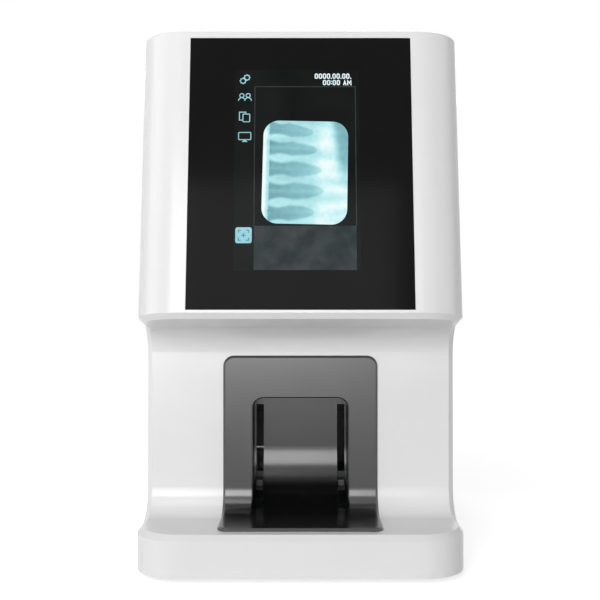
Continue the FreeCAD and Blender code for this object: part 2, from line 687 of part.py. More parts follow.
def niche_insert():
    """Gloss trim that follows the base's top, the cove and the neck, open where the niche goes in."""
    half = INSERT_WIDTH / 2
    face = NECK_SETBACK - INSERT_PROUD
    corners = [(INSERT_FRONT, BASE_THICKNESS), (NECK_SETBACK, BASE_THICKNESS), (NECK_SETBACK, INSERT_TOP),
               (face, INSERT_TOP), (face, NICHE_FLOOR), (INSERT_FRONT, NICHE_FLOOR)]
    rounds = [0, COVE_RADIUS, 0, 0, COVE_RADIUS - INSERT_PROUD, 0]
    band = prism("side", corners, -half, half, rounds)
    top_edges = [edge for edge in band.Edges
                 if edge.BoundBox.ZMin > INSERT_TOP - 0.01 and edge.BoundBox.XLength < 0.01]
    front_edges = [edge for edge in band.Edges
                   if edge.BoundBox.YMax < INSERT_FRONT + 0.01 and edge.BoundBox.XLength < 0.01]
    band = band.makeFillet(INSERT_CORNER, top_edges + front_edges)
    band = band.makeChamfer(INSERT_BEVEL, insert_rim(band, face))
    sleeve = arch(SLEEVE_WALL, NECK_SETBACK - 0.01, NECK_INSIDE + FIT_GAP)
    sleeve = sleeve.common(block(-half, half, 0, BODY_DEPTH, NICHE_FLOOR + COVE_RADIUS, INSERT_TOP))
    insert = fused([band, sleeve]).cut(arch(0.0, FLOOR_START, BODY_DEPTH))
    mouth = []
    for edge in insert.Edges:
        middle = edge.valueAt((edge.FirstParameter + edge.LastParameter) / 2)
        inside = abs(middle.x) < NICHE_HALF + 0.01 and middle.z < OPENING_TOP + 0.01
        if inside and abs(edge.BoundBox.YMin - face) < 0.01 and edge.BoundBox.YLength < 0.01:
            mouth.append(edge)
    return insert.makeChamfer(OPENING_BEVEL, mouth)


def insert_rim(band, face):
    """Outer edges of the insert's shown surface, without the cove's tangent lines."""
    rim = []
    centre_y = NECK_SETBACK - COVE_RADIUS
    centre_z = BASE_THICKNESS + COVE_RADIUS
    radius = COVE_RADIUS - INSERT_PROUD
    for edge in band.Edges:
        points = [edge.valueAt(edge.FirstParameter + (edge.LastParameter - edge.FirstParameter) * t)
                  for t in (0.05, 0.5, 0.95)]
        shown = True
        for point in points:
            on_floor = abs(point.z - NICHE_FLOOR) < 0.01 and point.y < centre_y + 0.01
            on_front = abs(point.y - face) < 0.01 and point.z > centre_z - 0.01
            reach = math.hypot(point.y - centre_y, point.z - centre_z)
            on_cove = abs(reach - radius) < 0.01 and point.y > centre_y and point.z < centre_z
            if not (on_floor or on_front or on_cove):
                shown = False
        middle = points[1]
        across = edge.BoundBox.XLength > INSERT_WIDTH - 0.01
        at_end = middle.z > INSERT_TOP - 0.01 or middle.y < INSERT_FRONT + 0.01
        if shown and (at_end or not across):
            rim.append(edge)
    return rim


def cove_form(start, floor, back, top, half, cove):
    """Block under a line of floor, cove and back wall, cut off at the top and the front."""
    corners = [(start, floor), (back, floor), (back, top), (start, top)]
    return prism("side", corners, -half, half, [0, cove, 0, 0])


def niche_liner():
    """Curved trough behind the opening, with a flange behind the neck and the two finger slots."""
    half = NICHE_HALF + LINER_WALL
    behind = NECK_INSIDE + FIT_GAP + PLATE_GAP
    top = OPENING_TOP + LINER_RISE
    low = NICHE_FLOOR - LINER_WALL
    outer_cove = NICHE_COVE + LINER_WALL
    body = cove_form(NECK_SETBACK - 2 * SLEEVE_WALL, low, LINER_BACK, top, half, outer_cove)
    tongue = cove_form(FLOOR_START, low, LINER_BACK, top, NICHE_HALF - FIT_GAP, outer_cove)
    neck = NECK_SETBACK + 2 * FIT_GAP
    base = BASE_THICKNESS - 2 * FIT_GAP
    step = NICHE_FLOOR + COVE_RADIUS - LINER_WALL
    casing_side = [(0, base), (neck, base), (neck, step), (behind, step), (behind, 2 * top), (0, 2 * top)]
    body = body.cut(prism("side", casing_side, -FAR, FAR, [0, COVE_RADIUS + 2 * FIT_GAP, 0, 0, 0, 0]))
    side = half + LINER_FLANGE
    flange = block(-side, side, behind, behind + LINER_WALL, NICHE_FLOOR + 2 * LINER_WALL, top)
    void = cove_form(FLOOR_START - PAST, NICHE_FLOOR, NICHE_BACK, 2 * top, NICHE_HALF, NICHE_COVE)
    slot = block(SLOT_INNER, SLOT_INNER + SLOT_WIDTH, SLOT_START, LINER_BACK + PAST, 0, SLOT_TOP)
    return cut_all(fused([body, tongue, flange]), [void] + pair(slot))


def lift_frame():
    """Bent sheet bracket: two shelves that hold the rods and the screw, joined by two uprights."""
    half = ROD_SPACING / 2 + FRAME_MARGIN
    shelves = [block(-half, half, ROD_DEPTH - FRAME_REACH, FRAME_BACK, low, low + SHEET)
               for low in (PLATE_TOP, LIFT_TOP)]
    upright = block(half - UPRIGHT_WIDTH, half, FRAME_BACK - SHEET, FRAME_BACK, PLATE_TOP, LIFT_TOP + SHEET)
    frame = fused(shelves + pair(upright))
    bores = [round_bar(ROD_RADIUS, (x, ROD_DEPTH, 0), (x, ROD_DEPTH, BODY_HEIGHT)) for x in rod_places()]
    bores.append(round_bar(JOURNAL_RADIUS + RUN_GAP, (0, SCREW_DEPTH, LIFT_TOP - PAST),
                           (0, SCREW_DEPTH, BODY_HEIGHT)))
    return cut_all(frame, bores)


def rod_places():
    return -ROD_SPACING / 2, ROD_SPACING / 2


def lift_rods():
    top = LIFT_TOP + SHEET
    return Part.makeCompound([round_bar(ROD_RADIUS, (x, ROD_DEPTH, PLATE_TOP), (x, ROD_DEPTH, top))
                              for x in rod_places()])


def lift_carriage():
    """Beam with a housing for each bush and for the nut, and the two fingers that carry the plate."""
    low, high = BEAM_BOTTOM, BEAM_BOTTOM + BEAM_HEIGHT
    outer = ROD_RADIUS + BUSH_WALL + HOUSING_WALL
    half = ROD_SPACING / 2 + outer
    pieces = [block(-half, half, BEAM_FRONT, BEAM_BACK, low, high)]
    pieces += [round_bar(outer, (x, ROD_DEPTH, low), (x, ROD_DEPTH, low + BUSH_LENGTH))
               for x in rod_places()]
    pieces.append(round_bar(NUT_RADIUS + HOUSING_WALL, (0, SCREW_DEPTH, low), (0, SCREW_DEPTH, high)))
    start = SLOT_INNER + (SLOT_WIDTH - FINGER_WIDTH) / 2
    corners = rectangle(NICHE_BACK - FINGER_REACH, BEAM_BACK, FINGER_PARK - FINGER_HEIGHT, FINGER_PARK)
    pieces += pair(prism("side", corners, start, start + FINGER_WIDTH, [FINGER_ROUND, 0, 0, FINGER_ROUND]))
    bores = [round_bar(ROD_RADIUS + BUSH_WALL, (x, ROD_DEPTH, 0), (x, ROD_DEPTH, BODY_HEIGHT))
             for x in rod_places()]
    bores.append(round_bar(NUT_RADIUS, (0, SCREW_DEPTH, 0), (0, SCREW_DEPTH, BODY_HEIGHT)))
    return cut_all(fused(pieces), bores)


def lift_bushes():
    return Part.makeCompound([tube(ROD_RADIUS + BUSH_WALL, ROD_RADIUS + RUN_GAP, (x, ROD_DEPTH, BEAM_BOTTOM),
                                   (x, ROD_DEPTH, BEAM_BOTTOM + BUSH_LENGTH)) for x in rod_places()])


def lift_nut():
    low = BEAM_BOTTOM - NUT_FLANGE
    body = round_bar(NUT_RADIUS, (0, SCREW_DEPTH, low), (0, SCREW_DEPTH, BEAM_BOTTOM + BEAM_HEIGHT))
    flange = round_bar(NUT_RADIUS + NUT_FLANGE_MARGIN, (0, SCREW_DEPTH, low), (0, SCREW_DEPTH, BEAM_BOTTOM))
    bore = round_bar(SCREW_RADIUS + RUN_GAP, (0, SCREW_DEPTH, 0), (0, SCREW_DEPTH, BODY_HEIGHT))
    return fused([body, flange]).cut(bore)


def lift_motor():
    floor = PLATE_TOP + SHEET
    can = round_bar(LIFT_MOTOR_RADIUS, (0, SCREW_DEPTH, floor), (0, SCREW_DEPTH, floor + LIFT_MOTOR_HEIGHT))
    ear_top = floor + SHEET / 2
    front, back = SCREW_DEPTH - EAR_WIDTH, SCREW_DEPTH + EAR_WIDTH
    ears = prism("plan", chamfered(-EAR_SPREAD, EAR_SPREAD, front, back, EAR_WIDTH / 2), floor, ear_top)
    bore = round_bar(SCREW_RADIUS + RUN_GAP, (0, SCREW_DEPTH, ear_top), (0, SCREW_DEPTH, BODY_HEIGHT))
    return fused([can, ears]).cut(bore)


def lift_screw():
    low = PLATE_TOP + 2 * SHEET
    thread = round_bar(SCREW_RADIUS, (0, SCREW_DEPTH, low), (0, SCREW_DEPTH, LIFT_TOP - FIT_GAP))
    journal = round_bar(JOURNAL_RADIUS, (0, SCREW_DEPTH, low), (0, SCREW_DEPTH, LIFT_TOP + SHEET))
    return fused([thread, journal])


def roller_axes():
    """Each roller's name, depth, height, radius and shaft radius."""
    return [("lower_drive", DRIVE_DEPTH, LOWER_ROLLERS, DRIVE_RADIUS, DRIVE_SHAFT),
            ("upper_drive", DRIVE_DEPTH, UPPER_ROLLERS, DRIVE_RADIUS, DRIVE_SHAFT),
            ("lower_pinch", PINCH_DEPTH, LOWER_ROLLERS, PINCH_RADIUS, PINCH_SHAFT),
            ("upper_pinch", PINCH_DEPTH, UPPER_ROLLERS, PINCH_RADIUS, PINCH_SHAFT)]


def bearing_block(x0, x1, depth, height, shaft):
    reach = shaft + BEARING_WALL
    return block(x0, x1, depth - reach, depth + reach, height - reach, height + reach)


def side_plate(sign):
    """Sheet side of the transport, with a foot on the bench and square seats for the bearings."""
    low = LOWER_ROLLERS - SIDE_DROP
    front = PINCH_DEPTH - PINCH_RADIUS - SIDE_FRONT_WALL
    step = BENCH_FRONT - SHEET
    back = PLATE_PATH + SIDE_REACH
    corners = [(front, low), (step, low), (step, BENCH_TOP), (back, BENCH_TOP), (back, SIDE_SHOULDER),
               (PLATE_PATH + SIDE_TOP_REACH, TRANSPORT_TOP), (front, TRANSPORT_TOP)]
    x0, x1 = sorted((sign * SIDE_INNER, sign * SIDE_OUTER))
    plate = prism("side", corners, x0, x1)
    f0, f1 = sorted((sign * SIDE_INNER, sign * (SIDE_OUTER + SIDE_FLANGE_WIDTH)))
    start = PLATE_PATH + SIDE_FLANGE_START
    flange = block(f0, f1, start, start + SIDE_FLANGE_LENGTH, BENCH_TOP, BENCH_TOP + SHEET)
    seats = [bearing_block(x0 - PAST, x1 + PAST, depth, height, shaft)
             for _, depth, height, _, shaft in roller_axes()]
    return cut_all(fused([plate, flange]), seats)


def roller_bearings():
    bearings = []
    for _, depth, height, _, shaft in roller_axes():
        for sign in (-1, 1):
            x0, x1 = sorted((sign * SIDE_INNER, sign * (SIDE_OUTER + BEARING_PROUD)))
            bore = round_bar(shaft + RUN_GAP, (x0 - PAST, depth, height), (x1 + PAST, depth, height))
            bearings.append(bearing_block(x0, x1, depth, height, shaft).cut(bore))
    return Part.makeCompound(bearings)


def roller_core(depth, height, radius):
    return round_bar(radius, (-ROLLER_LENGTH / 2, depth, height), (ROLLER_LENGTH / 2, depth, height))


def drive_shaft(depth, height, radius, shaft):
    start, end = -SIDE_OUTER - BEARING_PROUD, PULLEY_END + PAST
    spindle = round_bar(shaft, (start, depth, height), (end, depth, height))
    return fused([spindle, roller_core(depth, height, radius - SLEEVE_THICKNESS)])


def drive_sleeve(depth, height, radius):
    return roller_core(depth, height, radius).cut(roller_core(depth, height, radius - SLEEVE_THICKNESS))


def pinch_roller(depth, height, radius, shaft):
    end = SIDE_OUTER + BEARING_PROUD
    return fused([round_bar(shaft, (-end, depth, height), (end, depth, height)),
                  roller_core(depth, height, radius)])


def guide(depth, windows):
    """Sheet beside the plate's path, cut away for the rollers, the beam and the erasing light."""
    half = SIDE_INNER - GUIDE_SIDE_GAP
    back = depth + GUIDE_THICKNESS
    sheet = block(-half, half, depth, back, OPENING_TOP + GUIDE_RISE, TRANSPORT_TOP - SHEET)
    return cut_all(sheet, [block(-wide, wide, depth - PAST, back + PAST, low, high)
                           for wide, low, high in windows])


def roller_windows(radius):
    wide = ROLLER_LENGTH / 2 + ROLLER_SIDE_GAP
    reach = radius + ROLLER_WINDOW_GAP
    return [(wide, height - reach, height + reach) for height in (LOWER_ROLLERS, UPPER_ROLLERS)]


def front_guide():
    return guide(FRONT_GUIDE, roller_windows(PINCH_RADIUS))


def rear_guide():
    scan_window = (21.5, LASER_HEIGHT - 3.0, LASER_HEIGHT + 8.0)
    erase_window = (21.0, ERASE_LOW + SHEET, ERASE_LOW + ERASE_TALL - SHEET)
    return guide(REAR_GUIDE, roller_windows(DRIVE_RADIUS) + [scan_window, erase_window])


def pulley(height, rim_starts):
    body = round_bar(PULLEY_RADIUS, (PULLEY_X, DRIVE_DEPTH, height), (PULLEY_END, DRIVE_DEPTH, height))
    rim = PULLEY_RADIUS + RIM_HEIGHT
    rims = [round_bar(rim, (x, DRIVE_DEPTH, height), (x + RIM_WIDTH, DRIVE_DEPTH, height))
            for x in rim_starts]
    bore = round_bar(DRIVE_SHAFT, (PULLEY_X - 2 * PAST, DRIVE_DEPTH, height),
                     (PULLEY_END + 2 * PAST, DRIVE_DEPTH, height))
    return fused([body] + rims).cut(bore)


def drive_belt():
    """Flat loop round the lower and the motor pulley. Both straight runs pass the upper pulley."""
    inner = PULLEY_RADIUS + RUN_GAP

    def loop(reach, start, end):
        low, high = LOWER_ROLLERS - reach, MOTOR_HEIGHT + reach
        corners = rectangle(DRIVE_DEPTH - reach, DRIVE_DEPTH + reach, low, high)
        return prism("side", corners, start, end, reach - 0.001)
    band = loop(inner + BELT_THICKNESS, PULLEY_X + BELT_INSET, PULLEY_END - BELT_INSET)
    return band.cut(loop(inner, PULLEY_X - PAST, PULLEY_END + PAST))


def motor_bracket():
    """Folded sheet from the right side plate out to the motor's face."""
    half = MOTOR_SIZE / 2
    low, high = MOTOR_HEIGHT - half - SHEET, MOTOR_HEIGHT + half + SHEET
    back = DRIVE_DEPTH + half
    plate = block(MOTOR_FACE - SHEET, MOTOR_FACE, DRIVE_DEPTH - half, back + SHEET, low, high)
    web = block(SIDE_OUTER, MOTOR_FACE, back, back + SHEET, low, high)
    foot = block(SIDE_OUTER, SIDE_OUTER + SHEET, back - 3 * SHEET, back + SHEET, low, high)
    hole = round_bar(MOTOR_PILOT, (MOTOR_FACE - 2 * SHEET, DRIVE_DEPTH, MOTOR_HEIGHT),
                     (MOTOR_FACE + PAST, DRIVE_DEPTH, MOTOR_HEIGHT))
    return fused([plate, web, foot]).cut(hole)


def feed_motor():
    half = MOTOR_SIZE / 2
    cap_cut, core_cut = 2.0, 4.0
    far = MOTOR_FACE + MOTOR_LENGTH
    bounds = (DRIVE_DEPTH - half, DRIVE_DEPTH + half, MOTOR_HEIGHT - half, MOTOR_HEIGHT + half)
    caps = [prism("side", chamfered(*bounds, cap_cut), start, start + MOTOR_CAP)
            for start in (MOTOR_FACE, far - MOTOR_CAP)]
    core = prism("side", chamfered(*bounds, core_cut), MOTOR_FACE + MOTOR_CAP, far - MOTOR_CAP)
    bore = round_bar(DRIVE_SHAFT + RUN_GAP, (MOTOR_FACE - PAST, DRIVE_DEPTH, MOTOR_HEIGHT),
                     (MOTOR_FACE + MOTOR_CAP + 2 * PAST, DRIVE_DEPTH, MOTOR_HEIGHT))
    return fused(caps + [core]).cut(bore)


def motor_shaft():
    return round_bar(DRIVE_SHAFT, (PULLEY_X - RIM_WIDTH, DRIVE_DEPTH, MOTOR_HEIGHT),
                     (MOTOR_FACE + MOTOR_CAP + PAST, DRIVE_DEPTH, MOTOR_HEIGHT))


def optics_bench():
    """Deck for the optics, with two ribs below and two tabs that the rear cover's screws pull on."""
    half, cut = BENCH_WIDTH / 2, BENCH_CORNER
    deck = prism("plan", [(-half, BENCH_FRONT + cut), (-half + cut, BENCH_FRONT), (half - cut, BENCH_FRONT),
                          (half, BENCH_FRONT + cut), (half, BENCH_BACK), (-half, BENCH_BACK)],
                 BENCH_LOW, BENCH_TOP)
    tabs = [block(x - BENCH_TAB / 2, x + BENCH_TAB / 2, BENCH_BACK - BENCH_THICKNESS, BENCH_BACK,
                  z - BENCH_TAB / 2, BENCH_TOP) for x, z in rear_screw_places()]
    rib = block(RIB_SPACING / 2 - 1.0, RIB_SPACING / 2 + 1.0, BOARD_FRONT, BENCH_BACK - BENCH_TAB,
                BENCH_LOW - RIB_HEIGHT, BENCH_LOW + PAST)
    ahead = BENCH_BACK - 2 * BENCH_THICKNESS
    bores = [round_bar(HUB_BORE, (0, MIRROR_DEPTH, BENCH_LOW - PAST), (0, MIRROR_DEPTH, BENCH_TOP + PAST))]
    bores += [round_bar(SCREW_SHANK + RUN_GAP, (x, ahead, z), (x, BENCH_BACK + PAST, z))
              for x, z in rear_screw_places()]
    return cut_all(fused([deck] + tabs + pair(rib)), bores)


def chassis_posts():
    """Hexagonal posts: four tall ones under the bench and four short ones under the main board."""
    tall_x = BENCH_WIDTH / 2 - TALL_POST_RADIUS - SHEET
    tall_y = (BENCH_FRONT + TALL_POST_INSET, MIRROR_DEPTH - TALL_POST_INSET)
    short_x = BOARD_WIDTH / 2 - STANDOFF_INSET
    short_y = (BOARD_FRONT + STANDOFF_INSET, BAY_FACE - 6 * STANDOFF_INSET)
    tall = [prism("plan", hexagon(x, y, TALL_POST_RADIUS), PLATE_TOP, BENCH_LOW)
            for y in tall_y for x in (-tall_x, tall_x)]
    short = [prism("plan", hexagon(x, y, SHORT_POST_RADIUS), PLATE_TOP, BOARD_HEIGHT)
             for y in short_y for x in (-short_x, short_x)]
    return Part.makeCompound(tall + short)


def beam_bar(radius, start, end):
    """Round bar on the laser's axis."""
    return round_bar(radius, (start, MIRROR_DEPTH, LASER_HEIGHT), (end, MIRROR_DEPTH, LASER_HEIGHT))


def laser_module():
    start, nose = LASER_STANDOFF, LASER_STANDOFF - LASER_NOSE
    barrel = beam_bar(LASER_RADIUS, start, start + LASER_LENGTH)
    tip = beam_bar(LASER_RADIUS - LASER_BORE, nose, start)
    return fused([barrel, tip]).cut(beam_bar(LASER_BORE, nose - PAST, start + LASER_NOSE))


def laser_mount():
    start = LASER_STANDOFF + 2 * LASER_NOSE
    end = start + MOUNT_LENGTH
    top_corner, slit_half = 5.0, 0.75
    corners = rectangle(MIRROR_DEPTH - MOUNT_HALF, MIRROR_DEPTH + MOUNT_HALF, BENCH_TOP,
                        LASER_HEIGHT + LASER_RADIUS + LASER_NOSE)
    mount = prism("side", corners, start, end, [0, 0, top_corner, top_corner])
    slit = block(start - PAST, end + PAST, MIRROR_DEPTH - slit_half, MIRROR_DEPTH + slit_half, LASER_HEIGHT,
                 BODY_HEIGHT)
    return cut_all(mount, [beam_bar(LASER_RADIUS, start - PAST, end + PAST), slit])


def scan_motor():
    low = BENCH_LOW - SCAN_MOTOR_LENGTH
    collar_height = 3.0
    can = round_bar(SCAN_MOTOR_RADIUS, (0, MIRROR_DEPTH, low), (0, MIRROR_DEPTH, BENCH_LOW))
    collar = round_bar(SCAN_MOTOR_RADIUS + collar_height, (0, MIRROR_DEPTH, BENCH_LOW - collar_height),
                       (0, MIRROR_DEPTH, BENCH_LOW))
    bore = round_bar(SCAN_SHAFT + RUN_GAP, (0, MIRROR_DEPTH, BENCH_LOW - SCAN_SHAFT_DEPTH),
                     (0, MIRROR_DEPTH, BENCH_LOW + PAST))
    return fused([can, collar]).cut(bore)


def mirror_turned(shape):
    """Turn a piece drawn facing the plate so that the mirror folds the sideways beam forwards."""
    turned = shape.copy()
    turned.rotate(V(0, MIRROR_DEPTH, 0), V(0, 0, 1), 45)
    return turned


def mirror_holder():
    """Turning shaft with a hub and a cheek that the mirror's back is glued to."""
    base = LASER_HEIGHT - MIRROR_TALL / 2
    hub_radius, hub_lift, cheek_half, cheek_depth, foot = 3.2, 1.0, 4.0, 2.4, 2.0
    shaft_low = BENCH_TOP - SCAN_SHAFT_DEPTH
    shaft = round_bar(SCAN_SHAFT, (0, MIRROR_DEPTH, shaft_low), (0, MIRROR_DEPTH, base - foot))
    hub = round_bar(hub_radius, (0, MIRROR_DEPTH, BENCH_TOP + hub_lift), (0, MIRROR_DEPTH, base))
    back = MIRROR_DEPTH + cheek_depth
    cheek = block(-cheek_half, cheek_half, MIRROR_DEPTH, back, base - foot, LASER_HEIGHT)
    front = MIRROR_DEPTH - MIRROR_THICKNESS
    seat = block(-MIRROR_WIDTH, MIRROR_WIDTH, front, MIRROR_DEPTH, base, BODY_HEIGHT)
    return mirror_turned(fused([shaft, hub, cheek]).cut(seat))


def scan_mirror():
    half, top_corner = MIRROR_WIDTH / 2, 3.0
    corners = rectangle(-half, half, LASER_HEIGHT - MIRROR_TALL / 2, LASER_HEIGHT + MIRROR_TALL / 2)
    return mirror_turned(prism("front", corners, MIRROR_DEPTH - MIRROR_THICKNESS, MIRROR_DEPTH,
                               [0, 0, top_corner, top_corner]))


def lens_holder():
    half, top_corner = LENS_HALF + LENS_HOLDER_MARGIN, 4.0
    corners = rectangle(-half, half, BENCH_TOP, LASER_HEIGHT + LENS_TALL - PAST)
    back = LENS_DEPTH + LENS_HOLDER_DEPTH
    holder = prism("front", corners, LENS_DEPTH, back, [0, 0, top_corner, top_corner])
    low, high = LASER_HEIGHT - LENS_TALL / 2, LASER_HEIGHT + LENS_TALL / 2
    return holder.cut(block(-LENS_HALF, LENS_HALF, LENS_DEPTH - PAST, back + PAST, low, high))


def scan_lens():
    """Plano-convex strip lens, thicker in the middle, held in the holder's window."""
    bulge_start, edge_start, flat_back = LENS_DEPTH + 1.5, LENS_DEPTH + 4.0, LENS_DEPTH + 7.0
    low = LASER_HEIGHT - LENS_TALL / 2
    left, right = V(-LENS_HALF, edge_start, low), V(LENS_HALF, edge_start, low)
    back_left, back_right = V(-LENS_HALF, flat_back, low), V(LENS_HALF, flat_back, low)
    edges = [Part.Arc(left, V(0, bulge_start, low), right).toShape(),
             Part.LineSegment(right, back_right).toShape(),
             Part.LineSegment(back_right, back_left).toShape(),
             Part.LineSegment(back_left, left).toShape()]
    return Part.Face(Part.Wire(edges)).extrude(V(0, 0, LENS_TALL))


def light_guide():
    """Clear bar that gathers the plate's glow along the scan line and narrows to the detector."""
    low, entry_half, entry_tall, entry_gap = LASER_HEIGHT + 2.0, 21.0, 5.0, 1.8
    exit_half, exit_rise, exit_tall = 9.0, 3.0, 14.0
    entry = chamfered(-entry_half, entry_half, low, low + entry_tall, 1.0)
    leave = chamfered(-exit_half, exit_half, low + exit_rise, low + exit_rise + exit_tall, 4.0)
    end = DETECTOR_START - FILTER_THICKNESS - 2 * GUIDE_SIDE_GAP
    return tapered(entry, leave, REAR_GUIDE + entry_gap, end)


def blue_filter():
    half, low, tall = 10.0, LASER_HEIGHT + 4.0, 16.0
    back = DETECTOR_START - GUIDE_SIDE_GAP
    return block(-half, half, back - FILTER_THICKNESS, back, low, low + tall)


def detector_module():
    half = DETECTOR_WIDTH / 2
    corners = chamfered(-half, half, LASER_HEIGHT + DETECTOR_LOW, LASER_HEIGHT + DETECTOR_TOP, SHEET)
    return prism("front", corners, DETECTOR_START, DETECTOR_START + DETECTOR_LENGTH)


def detector_bracket():
    """Shelf on two legs, under which the beam passes."""
    top = LASER_HEIGHT + DETECTOR_LOW
    sheet, foot_end = SHELF_HALF - 14.0 - 0.4, 22.0
    start = DETECTOR_START + (DETECTOR_LENGTH - SHELF_LENGTH) / 2
    end = start + SHELF_LENGTH
    leg = block(SHELF_HALF - 1.6, SHELF_HALF, start, end, BENCH_TOP, top)
    foot = block(SHELF_HALF - 1.6, foot_end, start, end, BENCH_TOP, BENCH_TOP + sheet)
    shelf = block(-SHELF_HALF, SHELF_HALF, start, end, top - sheet, top)
    return fused(pair(leg) + pair(foot) + [shelf])


def erase_board():
    half, lamp = SIDE_INNER - GUIDE_SIDE_GAP, LAMP_SIZE / 2
    board = block(-half, half, ERASE_DEPTH, ERASE_DEPTH + BOARD_THICKNESS, ERASE_LOW, ERASE_LOW + ERASE_TALL)
    middle = ERASE_LOW + ERASE_TALL / 2
    lamps = [block(x - lamp, x + lamp, ERASE_DEPTH - LAMP_HEIGHT, ERASE_DEPTH, z - lamp, z + lamp)
             for x in (-15.0, -5.0, 5.0, 15.0) for z in (middle - 8.0, middle, middle + 8.0)]
    return fused([board] + lamps)


def finned(x_half, fin_half, step, a0, a1, place):
    """Base plate and fins of a heat sink, each box put in place by the function passed."""
    plate = place(-x_half, x_half, a0, a1, 0, SHEET)
    fins = [place(x - fin_half, x + fin_half, a0, a1, SHEET / 2, SHEET + FIN_HEIGHT)
            for x in range(-3 * step, 3 * step + 1, step)]
    return fused([plate] + fins)


def erase_heat_sink():
    depth = ERASE_DEPTH + BOARD_THICKNESS

    def place(x0, x1, low, high, start, end):
        return block(x0, x1, depth + start, depth + end, low, high)
    return finned(20.0, 0.6, 6, ERASE_LOW + SHEET, ERASE_LOW + ERASE_TALL - SHEET, place)


def main_board():
    half = BOARD_WIDTH / 2
    board = block(-half, half, BOARD_FRONT, BAY_FACE - WALL - PAST, BOARD_HEIGHT, BOARD_TOP)
    # Each chip's left side, distance behind the board's front edge, width, depth and height
    chips = [(-30.0, 10.0, 14.0, 14.0, 1.4), (8.0, 2.0, 20.0, 12.0, 1.2), (-34.0, 48.0, 10.0, 18.0, 1.6),
             (24.0, 48.0, 12.0, 12.0, 8.0), (24.0, 68.0, 10.0, 10.0, 10.0)]
    return fused([board] + [block(x, x + wide, BOARD_FRONT + start, BOARD_FRONT + start + deep, BOARD_TOP,
                                  BOARD_TOP + tall) for x, start, wide, deep, tall in chips])


def processor_heat_sink():
    def place(x0, x1, start, end, low, high):
        return block(x0, x1, start, end, BOARD_TOP + low, BOARD_TOP + high)
    start, length = BOARD_FRONT + 30.0, 28.0
    return finned(14.0, 0.7, 4, start, start + length, place)


def socket(name):
    """Board-mounted socket. Its opening faces the rear bay."""
    x, width, height, depth = SOCKETS[name]
    face = BAY_FACE + FIT_GAP + RUN_GAP
    body = block(x - width / 2, x + width / 2, face - depth, face, BOARD_TOP, BOARD_TOP + height)
    middle = BOARD_TOP + height / 2

    def inner(half, start, end, low, high):
        return block(x - half, x + half, face + start, face + end, BOARD_TOP + low, BOARD_TOP + high)
    if name == "network_socket":
        return cut_all(body, [inner(5.9, -12.0, PAST, 2.6, 10.6), inner(3.0, -12.0, PAST, 1.2, 2.7)])
    if name == "usb_socket":
        return fused([body.cut(inner(4.25, -9.0, PAST, 1.6, 9.4)), inner(2.8, -10.0, -PAST, 3.9, 7.1)])
    bore_radius, pin_radius, bore_depth = 3.2, 1.0, 9.5
    bore = round_bar(bore_radius, (x, face - bore_depth, middle), (x, face + PAST, middle))
    pin = round_bar(pin_radius, (x, face - bore_depth - 0.5, middle), (x, face - PAST, middle))
    return fused([body.cut(bore), pin])


def rocker_box(wide, tall, start, end):
    low, high = ROCKER_HEIGHT - tall, ROCKER_HEIGHT + tall
    return block(ROCKER_X - wide, ROCKER_X + wide, BAY_FACE + start, BAY_FACE + end, low, high)


def rocker_pivot(radius, half):
    depth, height = BAY_FACE - ROCKER_PIVOT_DEPTH, ROCKER_HEIGHT
    return round_bar(radius, (ROCKER_X - half, depth, height), (ROCKER_X + half, depth, height))


def rocker_housing():
    bezel_margin, bezel_proud, body_depth, wall = 1.0, 1.5, 14.0, 1.2
    bezel = rocker_box(ROCKER_HALF_WIDE + bezel_margin, ROCKER_HALF_TALL + bezel_margin, 0, bezel_proud)
    body = rocker_box(ROCKER_HALF_WIDE, ROCKER_HALF_TALL, -body_depth, 0)
    hollow = rocker_box(ROCKER_HALF_WIDE - wall, ROCKER_HALF_TALL - wall, -8.0, 3.0)
    blade = rocker_box(2.4, 0.4, -20.0, -body_depth + 0.5)
    blades = [blade.translated(V(0, 0, up)) for up in (-5.0, 5.0)]
    return fused([fused([bezel, body]).cut(hollow)] + blades + [rocker_pivot(ROCKER_PIVOT_RADIUS, 6.0)])


def power_rocker():
    """Rocker paddle, drawn level and turned to its off position about the housing's pivot."""
    deep, dish, proud, foot_half, top_half, half = -4.6, 0.4, 1.0, 7.4, 7.6, 5.0
    corners = [(BAY_FACE + deep, ROCKER_HEIGHT - foot_half), (BAY_FACE + proud, ROCKER_HEIGHT - top_half),
               (BAY_FACE + dish, ROCKER_HEIGHT), (BAY_FACE + proud, ROCKER_HEIGHT + top_half),
               (BAY_FACE + deep, ROCKER_HEIGHT + foot_half)]
    paddle = prism("side", corners, ROCKER_X - half, ROCKER_X + half, [1.0, 1.0, 0, 1.0, 1.0])
    paddle = paddle.cut(rocker_pivot(ROCKER_PIVOT_RADIUS + RUN_GAP, half + PAST))
    paddle.rotate(V(ROCKER_X, BAY_FACE - ROCKER_PIVOT_DEPTH, ROCKER_HEIGHT), V(1, 0, 0), -ROCKER_TILT)
    return paddle


